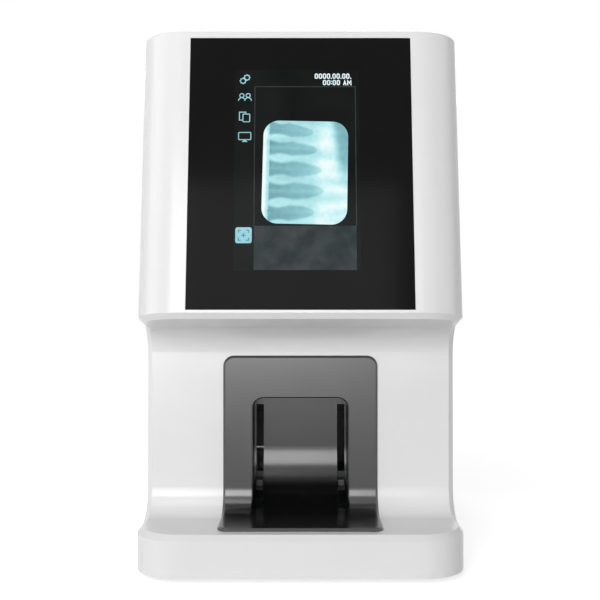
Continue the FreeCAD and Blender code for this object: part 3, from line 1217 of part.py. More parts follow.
def build():
    os.makedirs("parts", exist_ok=True)
    front_skin, rear_skin = shell_halves()
    inner_rim, outer_rim = PULLEY_X - RIM_WIDTH, PULLEY_END
    pieces = {
        "front_cover": front_cover(front_skin),
        "rear_cover": rear_cover(rear_skin),
        "bottom_plate": bottom_plate(),
        "rubber_feet": rubber_feet(),
        "case_screws": case_screws(),
        "cover_glass": cover_glass(),
        "glass_gasket": glass_gasket(),
        "display_panel": display_panel(),
        "display_bracket": display_bracket(),
        "display_board": display_board(),
        "niche_insert": niche_insert(),
        "niche_liner": niche_liner(),
        "lift_frame": lift_frame(),
        "lift_rods": lift_rods(),
        "lift_carriage": lift_carriage(),
        "lift_bushes": lift_bushes(),
        "lift_nut": lift_nut(),
        "lift_motor": lift_motor(),
        "lift_screw": lift_screw(),
        "left_side_plate": side_plate(-1),
        "right_side_plate": side_plate(1),
        "roller_bearings": roller_bearings(),
        "front_guide": front_guide(),
        "rear_guide": rear_guide(),
        "lower_pulley": pulley(LOWER_ROLLERS, [inner_rim]),
        "upper_pulley": pulley(UPPER_ROLLERS, [inner_rim]),
        "motor_pulley": pulley(MOTOR_HEIGHT, [inner_rim, outer_rim]),
        "drive_belt": drive_belt(),
        "motor_bracket": motor_bracket(),
        "feed_motor": feed_motor(),
        "motor_shaft": motor_shaft(),
        "optics_bench": optics_bench(),
        "chassis_posts": chassis_posts(),
        "laser_module": laser_module(),
        "laser_mount": laser_mount(),
        "scan_motor": scan_motor(),
        "mirror_holder": mirror_holder(),
        "scan_mirror": scan_mirror(),
        "lens_holder": lens_holder(),
        "scan_lens": scan_lens(),
        "light_guide": light_guide(),
        "blue_filter": blue_filter(),
        "detector_module": detector_module(),
        "detector_bracket": detector_bracket(),
        "erase_board": erase_board(),
        "erase_heat_sink": erase_heat_sink(),
        "main_board": main_board(),
        "processor_heat_sink": processor_heat_sink(),
        "rocker_housing": rocker_housing(),
        "power_rocker": power_rocker(),
    }
    for name, depth, height, radius, shaft in roller_axes():
        if "pinch" in name:
            pieces[name + "_roller"] = pinch_roller(depth, height, radius, shaft)
        else:
            pieces[name + "_shaft"] = drive_shaft(depth, height, radius, shaft)
            pieces[name + "_sleeve"] = drive_sleeve(depth, height, radius)
    for name in SOCKETS:
        pieces[name] = socket(name)
    for name, shape in pieces.items():
        save(name, shape)
    print(len(pieces), "pieces written")


build()
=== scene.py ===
"""Looks of a desktop scanner for phosphor imaging plates.

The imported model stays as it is. The class of each sub-assembly gives its nodes their finishes and adds
what is too fine for the solids: the picture on the screen, recesses and threads, contacts and marks.
"""

import logging
import math
from collections.abc import Iterable, Sequence
from dataclasses import dataclass
from enum import Enum
from functools import cache

import bmesh
import bpy
from mathutils import Matrix, Vector, noise


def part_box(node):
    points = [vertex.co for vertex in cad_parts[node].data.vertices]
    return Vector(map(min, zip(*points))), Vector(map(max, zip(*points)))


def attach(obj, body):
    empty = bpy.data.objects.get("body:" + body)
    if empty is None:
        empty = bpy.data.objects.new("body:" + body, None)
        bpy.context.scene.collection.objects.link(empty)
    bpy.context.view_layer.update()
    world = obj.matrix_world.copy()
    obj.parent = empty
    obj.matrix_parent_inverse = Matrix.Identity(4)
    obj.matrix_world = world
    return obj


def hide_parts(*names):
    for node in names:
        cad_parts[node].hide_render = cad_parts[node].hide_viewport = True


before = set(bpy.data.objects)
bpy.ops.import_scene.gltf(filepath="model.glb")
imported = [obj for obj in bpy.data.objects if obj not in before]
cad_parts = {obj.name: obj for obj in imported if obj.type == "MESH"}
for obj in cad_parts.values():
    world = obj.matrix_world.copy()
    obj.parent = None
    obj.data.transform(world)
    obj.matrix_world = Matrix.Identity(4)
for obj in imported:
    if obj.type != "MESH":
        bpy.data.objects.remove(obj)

LOG = logging.getLogger("scanner")
MM = 0.001
Point = tuple[float, float]
Colour = tuple[float, float, float, float]


class Body(str, Enum):
    """The moving groups of the machine that pieces ride on."""

    CASING = "casing"
    LIFT_SCREW = "lift_screw"
    ROCKER = "power_rocker"


class Slot(str, Enum):
    """Names of the finishes that a piece can be repainted by."""

    SCREEN = "black_glass"
    SCREWS = "screw_steel"
    SHAFTS = "ground_steel"
    SOCKETS = "socket_metal"
    DARK_PLASTIC = "black_moulding"


class Direction(Enum):
    """Directions that a face can look in."""

    FRONT = (0.0, -1.0, 0.0)
    BACK = (0.0, 1.0, 0.0)
    TOP = (0.0, 0.0, 1.0)


def tone(code: str, share: float = 1.0) -> Colour:
    """Linear colour of an sRGB code.

    Args:
        code: six hexadecimal digits, such as "d8d9da".
        share: how much of the light is kept, where 1 leaves the colour as it is.

    Returns:
        Red, green, blue and alpha for a shader socket.
    """
    channels = []
    for start in (0, 2, 4):
        value = int(code[start:start + 2], 16) / 255
        linear = value / 12.92 if value <= 0.04045 else ((value + 0.055) / 1.055) ** 2.4
        channels.append(linear * share)
    return (channels[0], channels[1], channels[2], 1.0)


class Recipe:
    """A material written as shader nodes, from a place on the surface to its colour and relief."""

    def __init__(self, name: str) -> None:
        """Start a material of that name with one Principled shader."""
        self.material = bpy.data.materials.new(name)
        self.material.use_nodes = True
        self.tree = self.material.node_tree
        self.shader = self.tree.nodes["Principled BSDF"]
        self.places = self.tree.nodes.new("ShaderNodeTexCoord").outputs["Object"]

    def feed(self, socket: bpy.types.NodeSocket, value: object) -> None:
        """Link a node's output to a socket, or set a plain value on it."""
        if isinstance(value, bpy.types.NodeSocket):
            self.tree.links.new(value, socket)
        else:
            socket.default_value = value

    def add(self, kind: str, inputs: dict[str, object], **settings: object) -> bpy.types.Node:
        """Add one shader node.

        Args:
            kind: the node's type without its ShaderNode prefix.
            inputs: values or other nodes' outputs, by socket name.
            **settings: the node's own properties.

        Returns:
            The new node.
        """
        node = self.tree.nodes.new("ShaderNode" + kind)
        for key, value in settings.items():
            setattr(node, key, value)
        for key, value in inputs.items():
            self.feed(node.inputs[key], value)
        return node

    def shade(self, **values: object) -> None:
        """Set sockets of the Principled shader, with underscores for the spaces in their names."""
        for key, value in values.items():
            self.feed(self.shader.inputs[key.replace("_", " ")], value)

    def stretched(self, stretch: tuple[float, float, float]) -> bpy.types.NodeSocket:
        """The place on the surface, with each axis multiplied."""
        return self.add("Mapping", {"Vector": self.places, "Scale": stretch}).outputs["Vector"]

    def clouds(self, size: float, detail: float = 2.0,
               stretch: tuple[float, float, float] = (1.0, 1.0, 1.0)) -> bpy.types.NodeSocket:
        """Soft noise.

        Args:
            size: width of one cloud in millimetres.
            detail: how many finer layers lie over it.
            stretch: multiplier of each axis, below 1 for clouds drawn out along it.

        Returns:
            An output from 0 to 1.
        """
        inputs = {"Vector": self.stretched(stretch), "Scale": 1 / (size * MM), "Detail": detail}
        return self.add("TexNoise", inputs).outputs["Fac"]

    def cells(self, size: float, feature: str = "F1") -> bpy.types.NodeSocket:
        """Distance from the middle or the edge of irregular cells of a size in millimetres."""
        inputs = {"Vector": self.places, "Scale": 1 / (size * MM)}
        return self.add("TexVoronoi", inputs, feature=feature).outputs["Distance"]

    def bands(self, axis: str, size: float, wander: float) -> bpy.types.NodeSocket:
        """Parallel bands across an axis, of a pitch in millimetres, that wander from straight."""
        inputs = {"Vector": self.places, "Scale": 1 / (size * MM * math.tau / 2), "Distortion": wander,
                  "Detail": 2.0}
        return self.add("TexWave", inputs, bands_direction=axis).outputs["Fac"]

    def tones(self, factor: bpy.types.NodeSocket, *stops: tuple[float, Colour]) -> bpy.types.NodeSocket:
        """A colour that runs through the stops as the factor rises."""
        node = self.add("ValToRGB", {"Fac": factor})
        ramp = node.color_ramp
        while len(ramp.elements) < len(stops):
            ramp.elements.new(1.0)
        for element, (place, colour) in zip(ramp.elements, stops):
            element.position = place
            element.color = colour
        return node.outputs["Color"]

    def span(self, factor: bpy.types.NodeSocket, low: float, high: float,
             start: float = 0.0, end: float = 1.0) -> bpy.types.NodeSocket:
        """The factor carried from start..end to low..high."""
        inputs = {"Value": factor, "From Min": start, "From Max": end, "To Min": low, "To Max": high}
        return self.add("MapRange", inputs).outputs["Result"]

    def sum(self, kind: str, first: object, second: object) -> bpy.types.NodeSocket:
        """The result of a two-sided operation, such as ADD or MULTIPLY, on outputs or numbers."""
        node = self.add("Math", {}, operation=kind)
        self.feed(node.inputs[0], first)
        self.feed(node.inputs[1], second)
        return node.outputs["Value"]

    def relief(self, height: bpy.types.NodeSocket, depth: float,
               under: bpy.types.NodeSocket | None = None) -> bpy.types.NodeSocket:
        """A bumped normal.

        Args:
            height: the relief, from 0 to 1.
            depth: its depth in millimetres.
            under: a coarser relief that it lies on.

        Returns:
            The normal output.
        """
        inputs: dict[str, object] = {"Height": height, "Strength": 1.0, "Distance": depth * MM}
        if under is not None:
            inputs["Normal"] = under
        return self.add("Bump", inputs).outputs["Normal"]


@dataclass(frozen=True)
class Finish:
    """What every finish has: a name, a colour as an sRGB code, and how rough it is."""

    name: str
    colour: str
    roughness: float

    def write(self, recipe: Recipe) -> None:
        """Write this finish's nodes into the recipe."""
        raise NotImplementedError


@dataclass(frozen=True)
class Moulding(Finish):
    """Moulded plastic: faint flow clouds, slow waves in the gloss and a fine skin."""

    mottle: float = 0.02
    flow_size: float = 22.0
    wave_size: float = 9.0
    wave_depth: float = 0.0015
    skin_size: float = 0.35
    skin_depth: float = 0.0006
    reflection: float = 0.5

    def write(self, recipe: Recipe) -> None:
        """Colour by slow clouds, roughness by faint smears, relief by waves under a fine skin."""
        flow = recipe.clouds(self.flow_size)
        recipe.shade(Base_Color=recipe.tones(flow, (0.3, tone(self.colour, 1 - self.mottle)),
                                             (0.7, tone(self.colour))),
                     Specular_IOR_Level=self.reflection)
        smear = recipe.clouds(self.flow_size / 2, 4.0, (1.0, 1.0, 0.4))
        recipe.shade(Roughness=recipe.span(smear, self.roughness * 0.85, self.roughness * 1.15))
        waves = recipe.relief(recipe.clouds(self.wave_size, 1.0), self.wave_depth)
        skin = recipe.relief(recipe.clouds(self.skin_size, 1.0), self.skin_depth, waves)
        recipe.shade(Normal=skin)


@dataclass(frozen=True)
class PrintedGlass(Finish):
    """Cover glass printed black behind, with a coating that takes most of the reflection away."""

    reflection: float = 0.03
    smear_size: float = 30.0

    def write(self, recipe: Recipe) -> None:
        """Near-black ink under a smooth face with the faintest smears."""
        ink = recipe.clouds(self.smear_size, 3.0)
        recipe.shade(Base_Color=recipe.tones(ink, (0.3, tone(self.colour, 0.85)), (0.7, tone(self.colour))))
        smear = recipe.clouds(self.smear_size / 2, 5.0, (1.0, 1.0, 0.5))
        recipe.shade(Roughness=recipe.span(smear, self.roughness * 0.8, self.roughness * 1.2),
                     Specular_IOR_Level=self.reflection)


@dataclass(frozen=True)
class LitInk(Finish):
    """A part of the screen's picture, lit from behind, with soft patches of uneven backlight."""

    dim_colour: str = "000000"
    patch_size: float = 8.0
    reflection: float = 0.03

    def write(self, recipe: Recipe) -> None:
        """Emission between two colours in soft patches."""
        patches = recipe.clouds(self.patch_size, 3.0)
        light = recipe.tones(patches, (0.35, tone(self.dim_colour)), (0.65, tone(self.colour)))
        recipe.shade(Base_Color=tone("000000"), Emission_Color=light, Emission_Strength=1.0,
                     Roughness=self.roughness, Specular_IOR_Level=self.reflection)


@dataclass(frozen=True)
class Radiogram(Finish):
    """The grey steps of the plate's picture, shown in pale blue-green from each point's density."""

    shadow: str = "3f747e"
    middle: str = "8cc3cc"
    reflection: float = 0.03

    def write(self, recipe: Recipe) -> None:
        """Emission from the mesh's density, with fine film grain."""
        density = recipe.add("Attribute", {}, attribute_name=DENSITY).outputs["Fac"]
        grain = recipe.span(recipe.clouds(0.9, 3.0), -0.06, 0.06)
        light = recipe.tones(recipe.sum("ADD", density, grain), (0.0, tone(self.shadow)),
                             (0.5, tone(self.middle)), (0.8, tone("b9ecf0")), (1.0, tone(self.colour)))
        recipe.shade(Base_Color=tone("000000"), Emission_Color=light, Emission_Strength=1.0,
                     Roughness=self.roughness, Specular_IOR_Level=self.reflection)


@dataclass(frozen=True)
class Plated(Finish):
    """Zinc-plated or passivated sheet: crystals, drawn lines and dull patches."""

    crystal_size: float = 3.0
    line_size: float = 0.3

    def write(self, recipe: Recipe) -> None:
        """Metal whose tone follows its crystals and whose relief follows the drawn lines."""
        crystals = recipe.cells(self.crystal_size)
        recipe.shade(Base_Color=recipe.tones(crystals, (0.1, tone(self.colour)), (0.8, tone(self.colour, 0.72))),
                     Metallic=1.0)
        patches = recipe.clouds(self.crystal_size * 3, 4.0)
        recipe.shade(Roughness=recipe.span(patches, self.roughness * 0.75, self.roughness * 1.25))
        lines = recipe.clouds(self.line_size, 2.0, (0.04, 1.0, 1.0))
        recipe.shade(Normal=recipe.relief(lines, 0.004))


@dataclass(frozen=True)
class Turned(Finish):
    """Metal turned on a lathe, with fine rings across its axis."""

    axis: str = "X"
    ring_size: float = 0.25
    ring_depth: float = 0.002

    def write(self, recipe: Recipe) -> None:
        """Metal with tool rings in its tone and relief."""
        rings = recipe.bands(self.axis, self.ring_size, 1.5)
        recipe.shade(Base_Color=recipe.tones(rings, (0.2, tone(self.colour, 0.85)), (0.8, tone(self.colour))),
                     Metallic=1.0)
        handled = recipe.clouds(6.0, 4.0)
        recipe.shade(Roughness=recipe.span(handled, self.roughness * 0.7, self.roughness * 1.3),
                     Normal=recipe.relief(rings, self.ring_depth))


@dataclass(frozen=True)
class Rubber(Finish):
    """Moulded or ground rubber: a matt grain with a grey bloom."""

    grain_size: float = 0.5
    grain_depth: float = 0.02
    bloom: str = "3a3a3b"

    def write(self, recipe: Recipe) -> None:
        """Matt colour with bloom in patches and a pebbled relief."""
        bloom = recipe.clouds(7.0, 5.0)
        recipe.shade(Base_Color=recipe.tones(bloom, (0.4, tone(self.colour)), (0.8, tone(self.bloom))),
                     Roughness=self.roughness,
                     Normal=recipe.relief(recipe.clouds(self.grain_size, 3.0), self.grain_depth))


@dataclass(frozen=True)
class CircuitBoard(Finish):
    """Glass-fibre board under a green lacquer, with tracks, pads and plated holes."""

    track: str = "2f7a4e"
    pad: str = "c9a44a"
    track_pitch: float = 1.3
    block_size: float = 9.0

    def write(self, recipe: Recipe) -> None:
        """Tracks that run one way or the other in blocks, with pads dotted between them."""
        across = recipe.bands("X", self.track_pitch, 0.0)
        along = recipe.bands("Y", self.track_pitch, 0.0)
        block = recipe.sum("GREATER_THAN", recipe.clouds(self.block_size, 0.0), 0.5)
        turned = recipe.sum("SUBTRACT", 1.0, block)
        run = recipe.sum("ADD", recipe.sum("MULTIPLY", across, block), recipe.sum("MULTIPLY", along, turned))
        lacquer = recipe.tones(run, (0.62, tone(self.colour)), (0.72, tone(self.track)))
        holes = recipe.sum("LESS_THAN", recipe.cells(self.track_pitch * 2.5), 0.16)
        mixed = recipe.add("MixRGB", {"Fac": holes, "Color1": lacquer, "Color2": tone(self.pad)})
        recipe.shade(Base_Color=mixed.outputs["Color"], Roughness=self.roughness,
                     Normal=recipe.relief(run, 0.03))


@dataclass(frozen=True)
class OpticalGlass(Finish):
    """Clear or coloured optical glass with faint dust."""

    dust: str = "d8dde0"

    def write(self, recipe: Recipe) -> None:
        """Transmission with specks of dust in the roughness."""
        specks = recipe.clouds(0.8, 5.0)
        recipe.shade(Base_Color=recipe.tones(specks, (0.55, tone(self.colour)), (0.9, tone(self.dust))),
                     Roughness=recipe.span(specks, self.roughness, self.roughness * 2.5),
                     Transmission_Weight=0.9)


@dataclass(frozen=True)
class Mirror(Finish):
    """Front-silvered mirror, with a trace of haze."""

    def write(self, recipe: Recipe) -> None:
        """Bright metal with haze in soft patches."""
        haze = recipe.clouds(4.0, 4.0)
        recipe.shade(Base_Color=recipe.tones(haze, (0.3, tone(self.colour, 0.95)), (0.7, tone(self.colour))),
                     Metallic=1.0, Roughness=recipe.span(haze, self.roughness, self.roughness * 3))


DENSITY = "film_grey"

WHITE_GLOSS = Moulding("white_gloss_casing", "ebebeb", 0.22, mottle=0.012)
# The niche's one dark gloss plastic in two copies: the liner's darker colour and weaker reflection are painted shade
# for the recess it sits in, and the insert's lighter colour and stronger reflection are painted light on its front.
SHADED_NICHE_GLOSS = Moulding("liner_dark_gloss_shaded", "0e0e0f", 0.2, mottle=0.05, reflection=0.8)
LIT_NICHE_GLOSS = Moulding("insert_dark_gloss_lit", "161617", 0.2, mottle=0.05, reflection=1.0)
BLACK_MOULDING = Moulding("black_moulded_parts", "1b1c1e", 0.42, skin_size=0.5, skin_depth=0.006)
WHITE_ACETAL = Moulding("white_acetal_rollers", "e4e2da", 0.35, mottle=0.04)
SCREEN_GLASS = PrintedGlass("printed_black_glass", "171717", 0.09)
FOAM_TAPE = Rubber("foam_tape", "161616", 0.9, grain_size=0.25)
FOOT_RUBBER = Rubber("foot_rubber", "2a2a2b", 0.8, grain_depth=0.03)
ROLLER_RUBBER = Rubber("ground_roller_rubber", "30343a", 0.7, grain_size=0.3, grain_depth=0.008)
BELT_RUBBER = Rubber("belt_rubber", "17181a", 0.65, grain_size=0.4)
ZINC_SHEET = Plated("zinc_plated_sheet", "aeb2b6", 0.38)
DISPLAY_METAL = Plated("display_back_metal", "c2c4c6", 0.3, crystal_size=5.0)
SOCKET_METAL = Plated("socket_metal", "b9bbbd", 0.26, crystal_size=1.5, line_size=0.15)
BLACK_ANODISED = Plated("black_anodised", "2a2c30", 0.45, crystal_size=0.8)
SCREW_STEEL = Turned("screw_steel", "8f9296", 0.33, axis="Z", ring_size=0.3)
GROUND_STEEL = Turned("ground_steel", "b4b6b9", 0.2)
UPRIGHT_STEEL = Turned("upright_ground_steel", "b4b6b9", 0.2, axis="Z")
BRONZE = Turned("sintered_bronze", "a5793f", 0.42, axis="Z", ring_size=0.5)
MOTOR_STEEL = Turned("motor_steel", "8c9096", 0.36, axis="Z", ring_size=0.8)
PULLEY_ALUMINIUM = Turned("pulley_aluminium", "c8cacc", 0.3)
BOARD_GREEN = CircuitBoard("circuit_board", "155a37", 0.34)
MIRROR_COAT = Mirror("mirror_coat", "e8ecee", 0.03)
CLEAR_GLASS = OpticalGlass("clear_optical_glass", "f2f6f7", 0.03)
BLUE_GLASS = OpticalGlass("blue_filter_glass", "2c58c8", 0.03)
CONTACT_GOLD = Turned("contact_gold", "d2a857", 0.25, axis="Y", ring_size=0.1)
MARK_PAINT = Moulding("mark_paint", "e6e6e4", 0.4, mottle=0.03)

PALE_LINES = LitInk("pale_lines", "a9dce2", 0.09, dim_colour="8cc6ce")
WHITE_FIGURES = LitInk("white_figures", "f2fdff", 0.09, dim_colour="d8f2f6")
BUTTON_FILL = LitInk("button_fill", "a6dae4", 0.09, dim_colour="8fcbd8")
BUTTON_SIGN = LitInk("button_sign", "4b93a3", 0.09, dim_colour="3f8798")
VIEWER_LINES = LitInk("viewer_lines", "393f42", 0.09, dim_colour="2c3336")
SLATE_FIELD = LitInk("slate_field", "3f4547", 0.09, dim_colour="2b3437")
LIT_BLACK = LitInk("lit_black", "1c1e1e", 0.09, dim_colour="131414", patch_size=30.0)
PICTURE = Radiogram("plate_picture", "effeff", 0.09)

SLOT_FINISHES: dict[str, Finish] = {
    "white_gloss": WHITE_GLOSS, "dark_gloss": SHADED_NICHE_GLOSS, "black_glass": SCREEN_GLASS,
    "foam_tape": FOAM_TAPE, "display_metal": DISPLAY_METAL, "black_moulding": BLACK_MOULDING,
    "circuit_board": BOARD_GREEN, "zinc_sheet": ZINC_SHEET, "foot_rubber": FOOT_RUBBER,
    "screw_steel": SCREW_STEEL, "ground_steel": GROUND_STEEL, "bronze": BRONZE,
    "motor_steel": MOTOR_STEEL, "white_acetal": WHITE_ACETAL, "pulley_aluminium": PULLEY_ALUMINIUM,
    "belt_rubber": BELT_RUBBER, "roller_rubber": ROLLER_RUBBER, "black_anodised": BLACK_ANODISED,
    "mirror_coat": MIRROR_COAT, "clear_glass": CLEAR_GLASS, "blue_glass": BLUE_GLASS,
    "socket_metal": SOCKET_METAL,
}


@cache
def written(finish: Finish) -> bpy.types.Material:
    """The material of a finish, written once and shared by every piece that has it."""
    recipe = Recipe(finish.name)
    finish.write(recipe)
    return recipe.material


def dress(node: str, finish: Finish) -> None:
    """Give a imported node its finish, in its object's own material slot."""
    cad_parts[node].material_slots[0].material = written(finish)


@dataclass(frozen=True)
class Face:
    """A flat face of a node, with axes to draw on. Its origin is the middle of its lower edge."""

    origin: Vector
    across: Vector
    up: Vector
    out: Vector

    @classmethod
    def of(cls, node: str, direction: Direction, highest: bool = True) -> "Face":
        """Find the largest flat face of a node that looks in a direction.

        Args:
            node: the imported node.
            direction: where the face looks, roughly.
            highest: take the higher of two faces that are as large, or else the lower.

        Returns:
            The face, with across to the right as one looks at it.
        """
        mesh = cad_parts[node].data
        wanted = Vector(direction.value)
        groups: dict[tuple[float, ...], list[bpy.types.MeshPolygon]] = {}
        for polygon in mesh.polygons:
            if polygon.normal.dot(wanted) > 0.8:
                level = polygon.normal.dot(mesh.vertices[polygon.vertices[0]].co)
                key = (*(round(value, 2) for value in polygon.normal), round(level, 4))
                groups.setdefault(key, []).append(polygon)
        size = {key: sum(polygon.area for polygon in found) for key, found in groups.items()}
        largest = [key for key in groups if size[key] > 0.8 * max(size.values())]
        centres = {key: sum((polygon.center.z for polygon in groups[key])) / len(groups[key]) for key in largest}
        chosen = (max if highest else min)(largest, key=centres.get)
        out = sum((polygon.normal * polygon.area for polygon in groups[chosen]), Vector()).normalized()
        across = Vector((0, 0, 1)).cross(out) if abs(out.z) < 0.9 else Vector((1, 0, 0))
        across.normalize()
        up = out.cross(across)
        points = [mesh.vertices[index].co for polygon in groups[chosen] for index in polygon.vertices]
        sides = [point.dot(across) for point in points]
        heights = [point.dot(up) for point in points]
        origin = across * (min(sides) + max(sides)) / 2 + up * min(heights) + out * points[0].dot(out)
        return cls(origin, across, up, out)

    def at(self, side: float, height: float, lift: float = 0.0) -> Vector:
        """A point in millimetres across and up from the origin, and off the face."""
        return self.origin + (self.across * side + self.up * height + self.out * lift) * MM


def finished(name: str, mesh: bmesh.types.BMesh, finish: Finish, body: Body,
             smooth: float | None = None) -> bpy.types.Object:
    """Make a piece from a worked mesh.

    Args:
        name: the piece's name.
        mesh: its faces, in metres in the machine's frame.
        finish: what it is finished with.
        body: what it rides on.
        smooth: the angle in degrees below which edges are smooth, or None for flat faces.

    Returns:
        The piece.
    """
    bmesh.ops.recalc_face_normals(mesh, faces=mesh.faces)
    data = bpy.data.meshes.new(name)
    mesh.to_mesh(data)
    mesh.free()
    piece = bpy.data.objects.new(name, data)
    bpy.context.scene.collection.objects.link(piece)
    data.materials.append(written(finish))
    if smooth is not None:
        data.shade_smooth()
        data.set_sharp_from_angle(angle=math.radians(smooth))
    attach(piece, body.value)
    LOG.info("%s: %d faces on %s", name, len(data.polygons), body.value)
    return piece


def circle(middle: Point, radius: float, steps: int = 32, start: float = 0.0,
           turn: float = 360.0) -> list[Point]:
    """Points along a circle or an arc, anticlockwise from an angle in degrees."""
    count = steps if turn >= 360.0 else steps + 1
    angles = [math.radians(start + turn * step / steps) for step in range(count)]
    return [(middle[0] + radius * math.cos(angle), middle[1] + radius * math.sin(angle)) for angle in angles]


def rounded(left: float, right: float, low: float, high: float, corner: float) -> list[Point]:
    """Points round a rectangle with rounded corners."""
    centres = [(right - corner, high - corner, 0.0), (left + corner, high - corner, 90.0),
               (left + corner, low + corner, 180.0), (right - corner, low + corner, 270.0)]
    return [point for x, y, start in centres for point in circle((x, y), corner, 6, start, 90.0)]


class Ink:
    """Thin flat shapes on a face, gathered into one piece."""

    def __init__(self, face: Face, lift: float, thickness: float) -> None:
        """Start with nothing drawn, at a lift off the face and with a thickness, in millimetres."""
        self.face = face
        self.lift = lift
        self.thickness = thickness
        self.mesh = bmesh.new()

    def _slab(self, rings: Sequence[Sequence[Point]], closed: bool) -> None:
        """Raise a closed slab from rows of points that are joined by quads across each pair."""
        layers = []
        for lift in (self.lift, self.lift + self.thickness):
            layers.append([[self.mesh.verts.new(self.face.at(x, y, lift)) for x, y in ring] for ring in rings])
        count = len(rings[0])
        steps = range(count if closed else count - 1)
        for step in steps:
            ahead = (step + 1) % count
            for layer in layers:
                self.mesh.faces.new([layer[0][step], layer[0][ahead], layer[1][ahead], layer[1][step]])
            for side in (0, 1):
                low, high = layers[0][side], layers[1][side]
                self.mesh.faces.new([low[step], low[ahead], high[ahead], high[step]])
        if not closed:
            for end in (0, count - 1):
                self.mesh.faces.new([layers[0][0][end], layers[0][1][end], layers[1][1][end], layers[1][0][end]])

    def fill(self, points: Sequence[Point]) -> None:
        """Draw a filled shape."""
        layers = []
        for lift in (self.lift, self.lift + self.thickness):
            layers.append([self.mesh.verts.new(self.face.at(x, y, lift)) for x, y in points])
            self.mesh.faces.new(layers[-1])
        for step in range(len(points)):
            ahead = (step + 1) % len(points)
            self.mesh.faces.new([layers[0][step], layers[0][ahead], layers[1][ahead], layers[1][step]])

    def line(self, points: Sequence[Point], width: float, closed: bool = False) -> None:
        """Draw a line of a width through the points, with mitred joints."""
        rims: tuple[list[Point], list[Point]] = ([], [])
        count = len(points)
        for index, point in enumerate(points):
            here = Vector(point)
            before = Vector(points[index - 1]) if closed or index > 0 else here
            after = Vector(points[(index + 1) % count]) if closed or index < count - 1 else here
            arriving = (here - before).normalized() if before != here else (after - here).normalized()
            leaving = (after - here).normalized() if after != here else arriving
            along = (arriving + leaving).normalized()
            square = Vector((-along.y, along.x))
            reach = width / 2 / max(0.5, along.dot(arriving))
            rims[0].append(tuple(here + square * reach))
            rims[1].append(tuple(here - square * reach))
        self._slab(rims, closed)

    def piece(self, name: str, finish: Finish, body: Body, slot: Slot) -> bpy.types.Object:
        """End the drawing and make it a piece."""
        return finished(name, self.mesh, finish, body)


@dataclass(frozen=True)
class Tooth:
    """One tooth of the plate's picture: its height on the picture, its tilt, and its crown and root."""

    height: float
    tilt: float
    crown: float
    root: float

    def shade(self, side: float, height: float) -> float:
        """How much of this tooth's shadow falls at a place on the picture, from 0 to 1."""
        along = side - PICTURE_CROWNS
        if along < 0 or along > self.root:
            return 0.0
        share = along / self.root
        neck = 1 - 0.3 * math.sin(math.pi * min(1.0, share * 2.2))
        half = self.crown / 2 * neck * (1 - share ** 2.4) ** 0.5
        off = abs(height - self.height - self.tilt * along)
        body = smooth_step(1.0 - off / max(half, 0.01), 0.0, 0.35)
        return body * (1 - 0.55 * share)


def smooth_step(value: float, low: float, high: float) -> float:
    """0 below low, 1 above high, and a smooth rise between."""
    share = max(0.0, min(1.0, (value - low) / (high - low)))
    return share * share * (3 - 2 * share)


PICTURE_CROWNS = -16.5


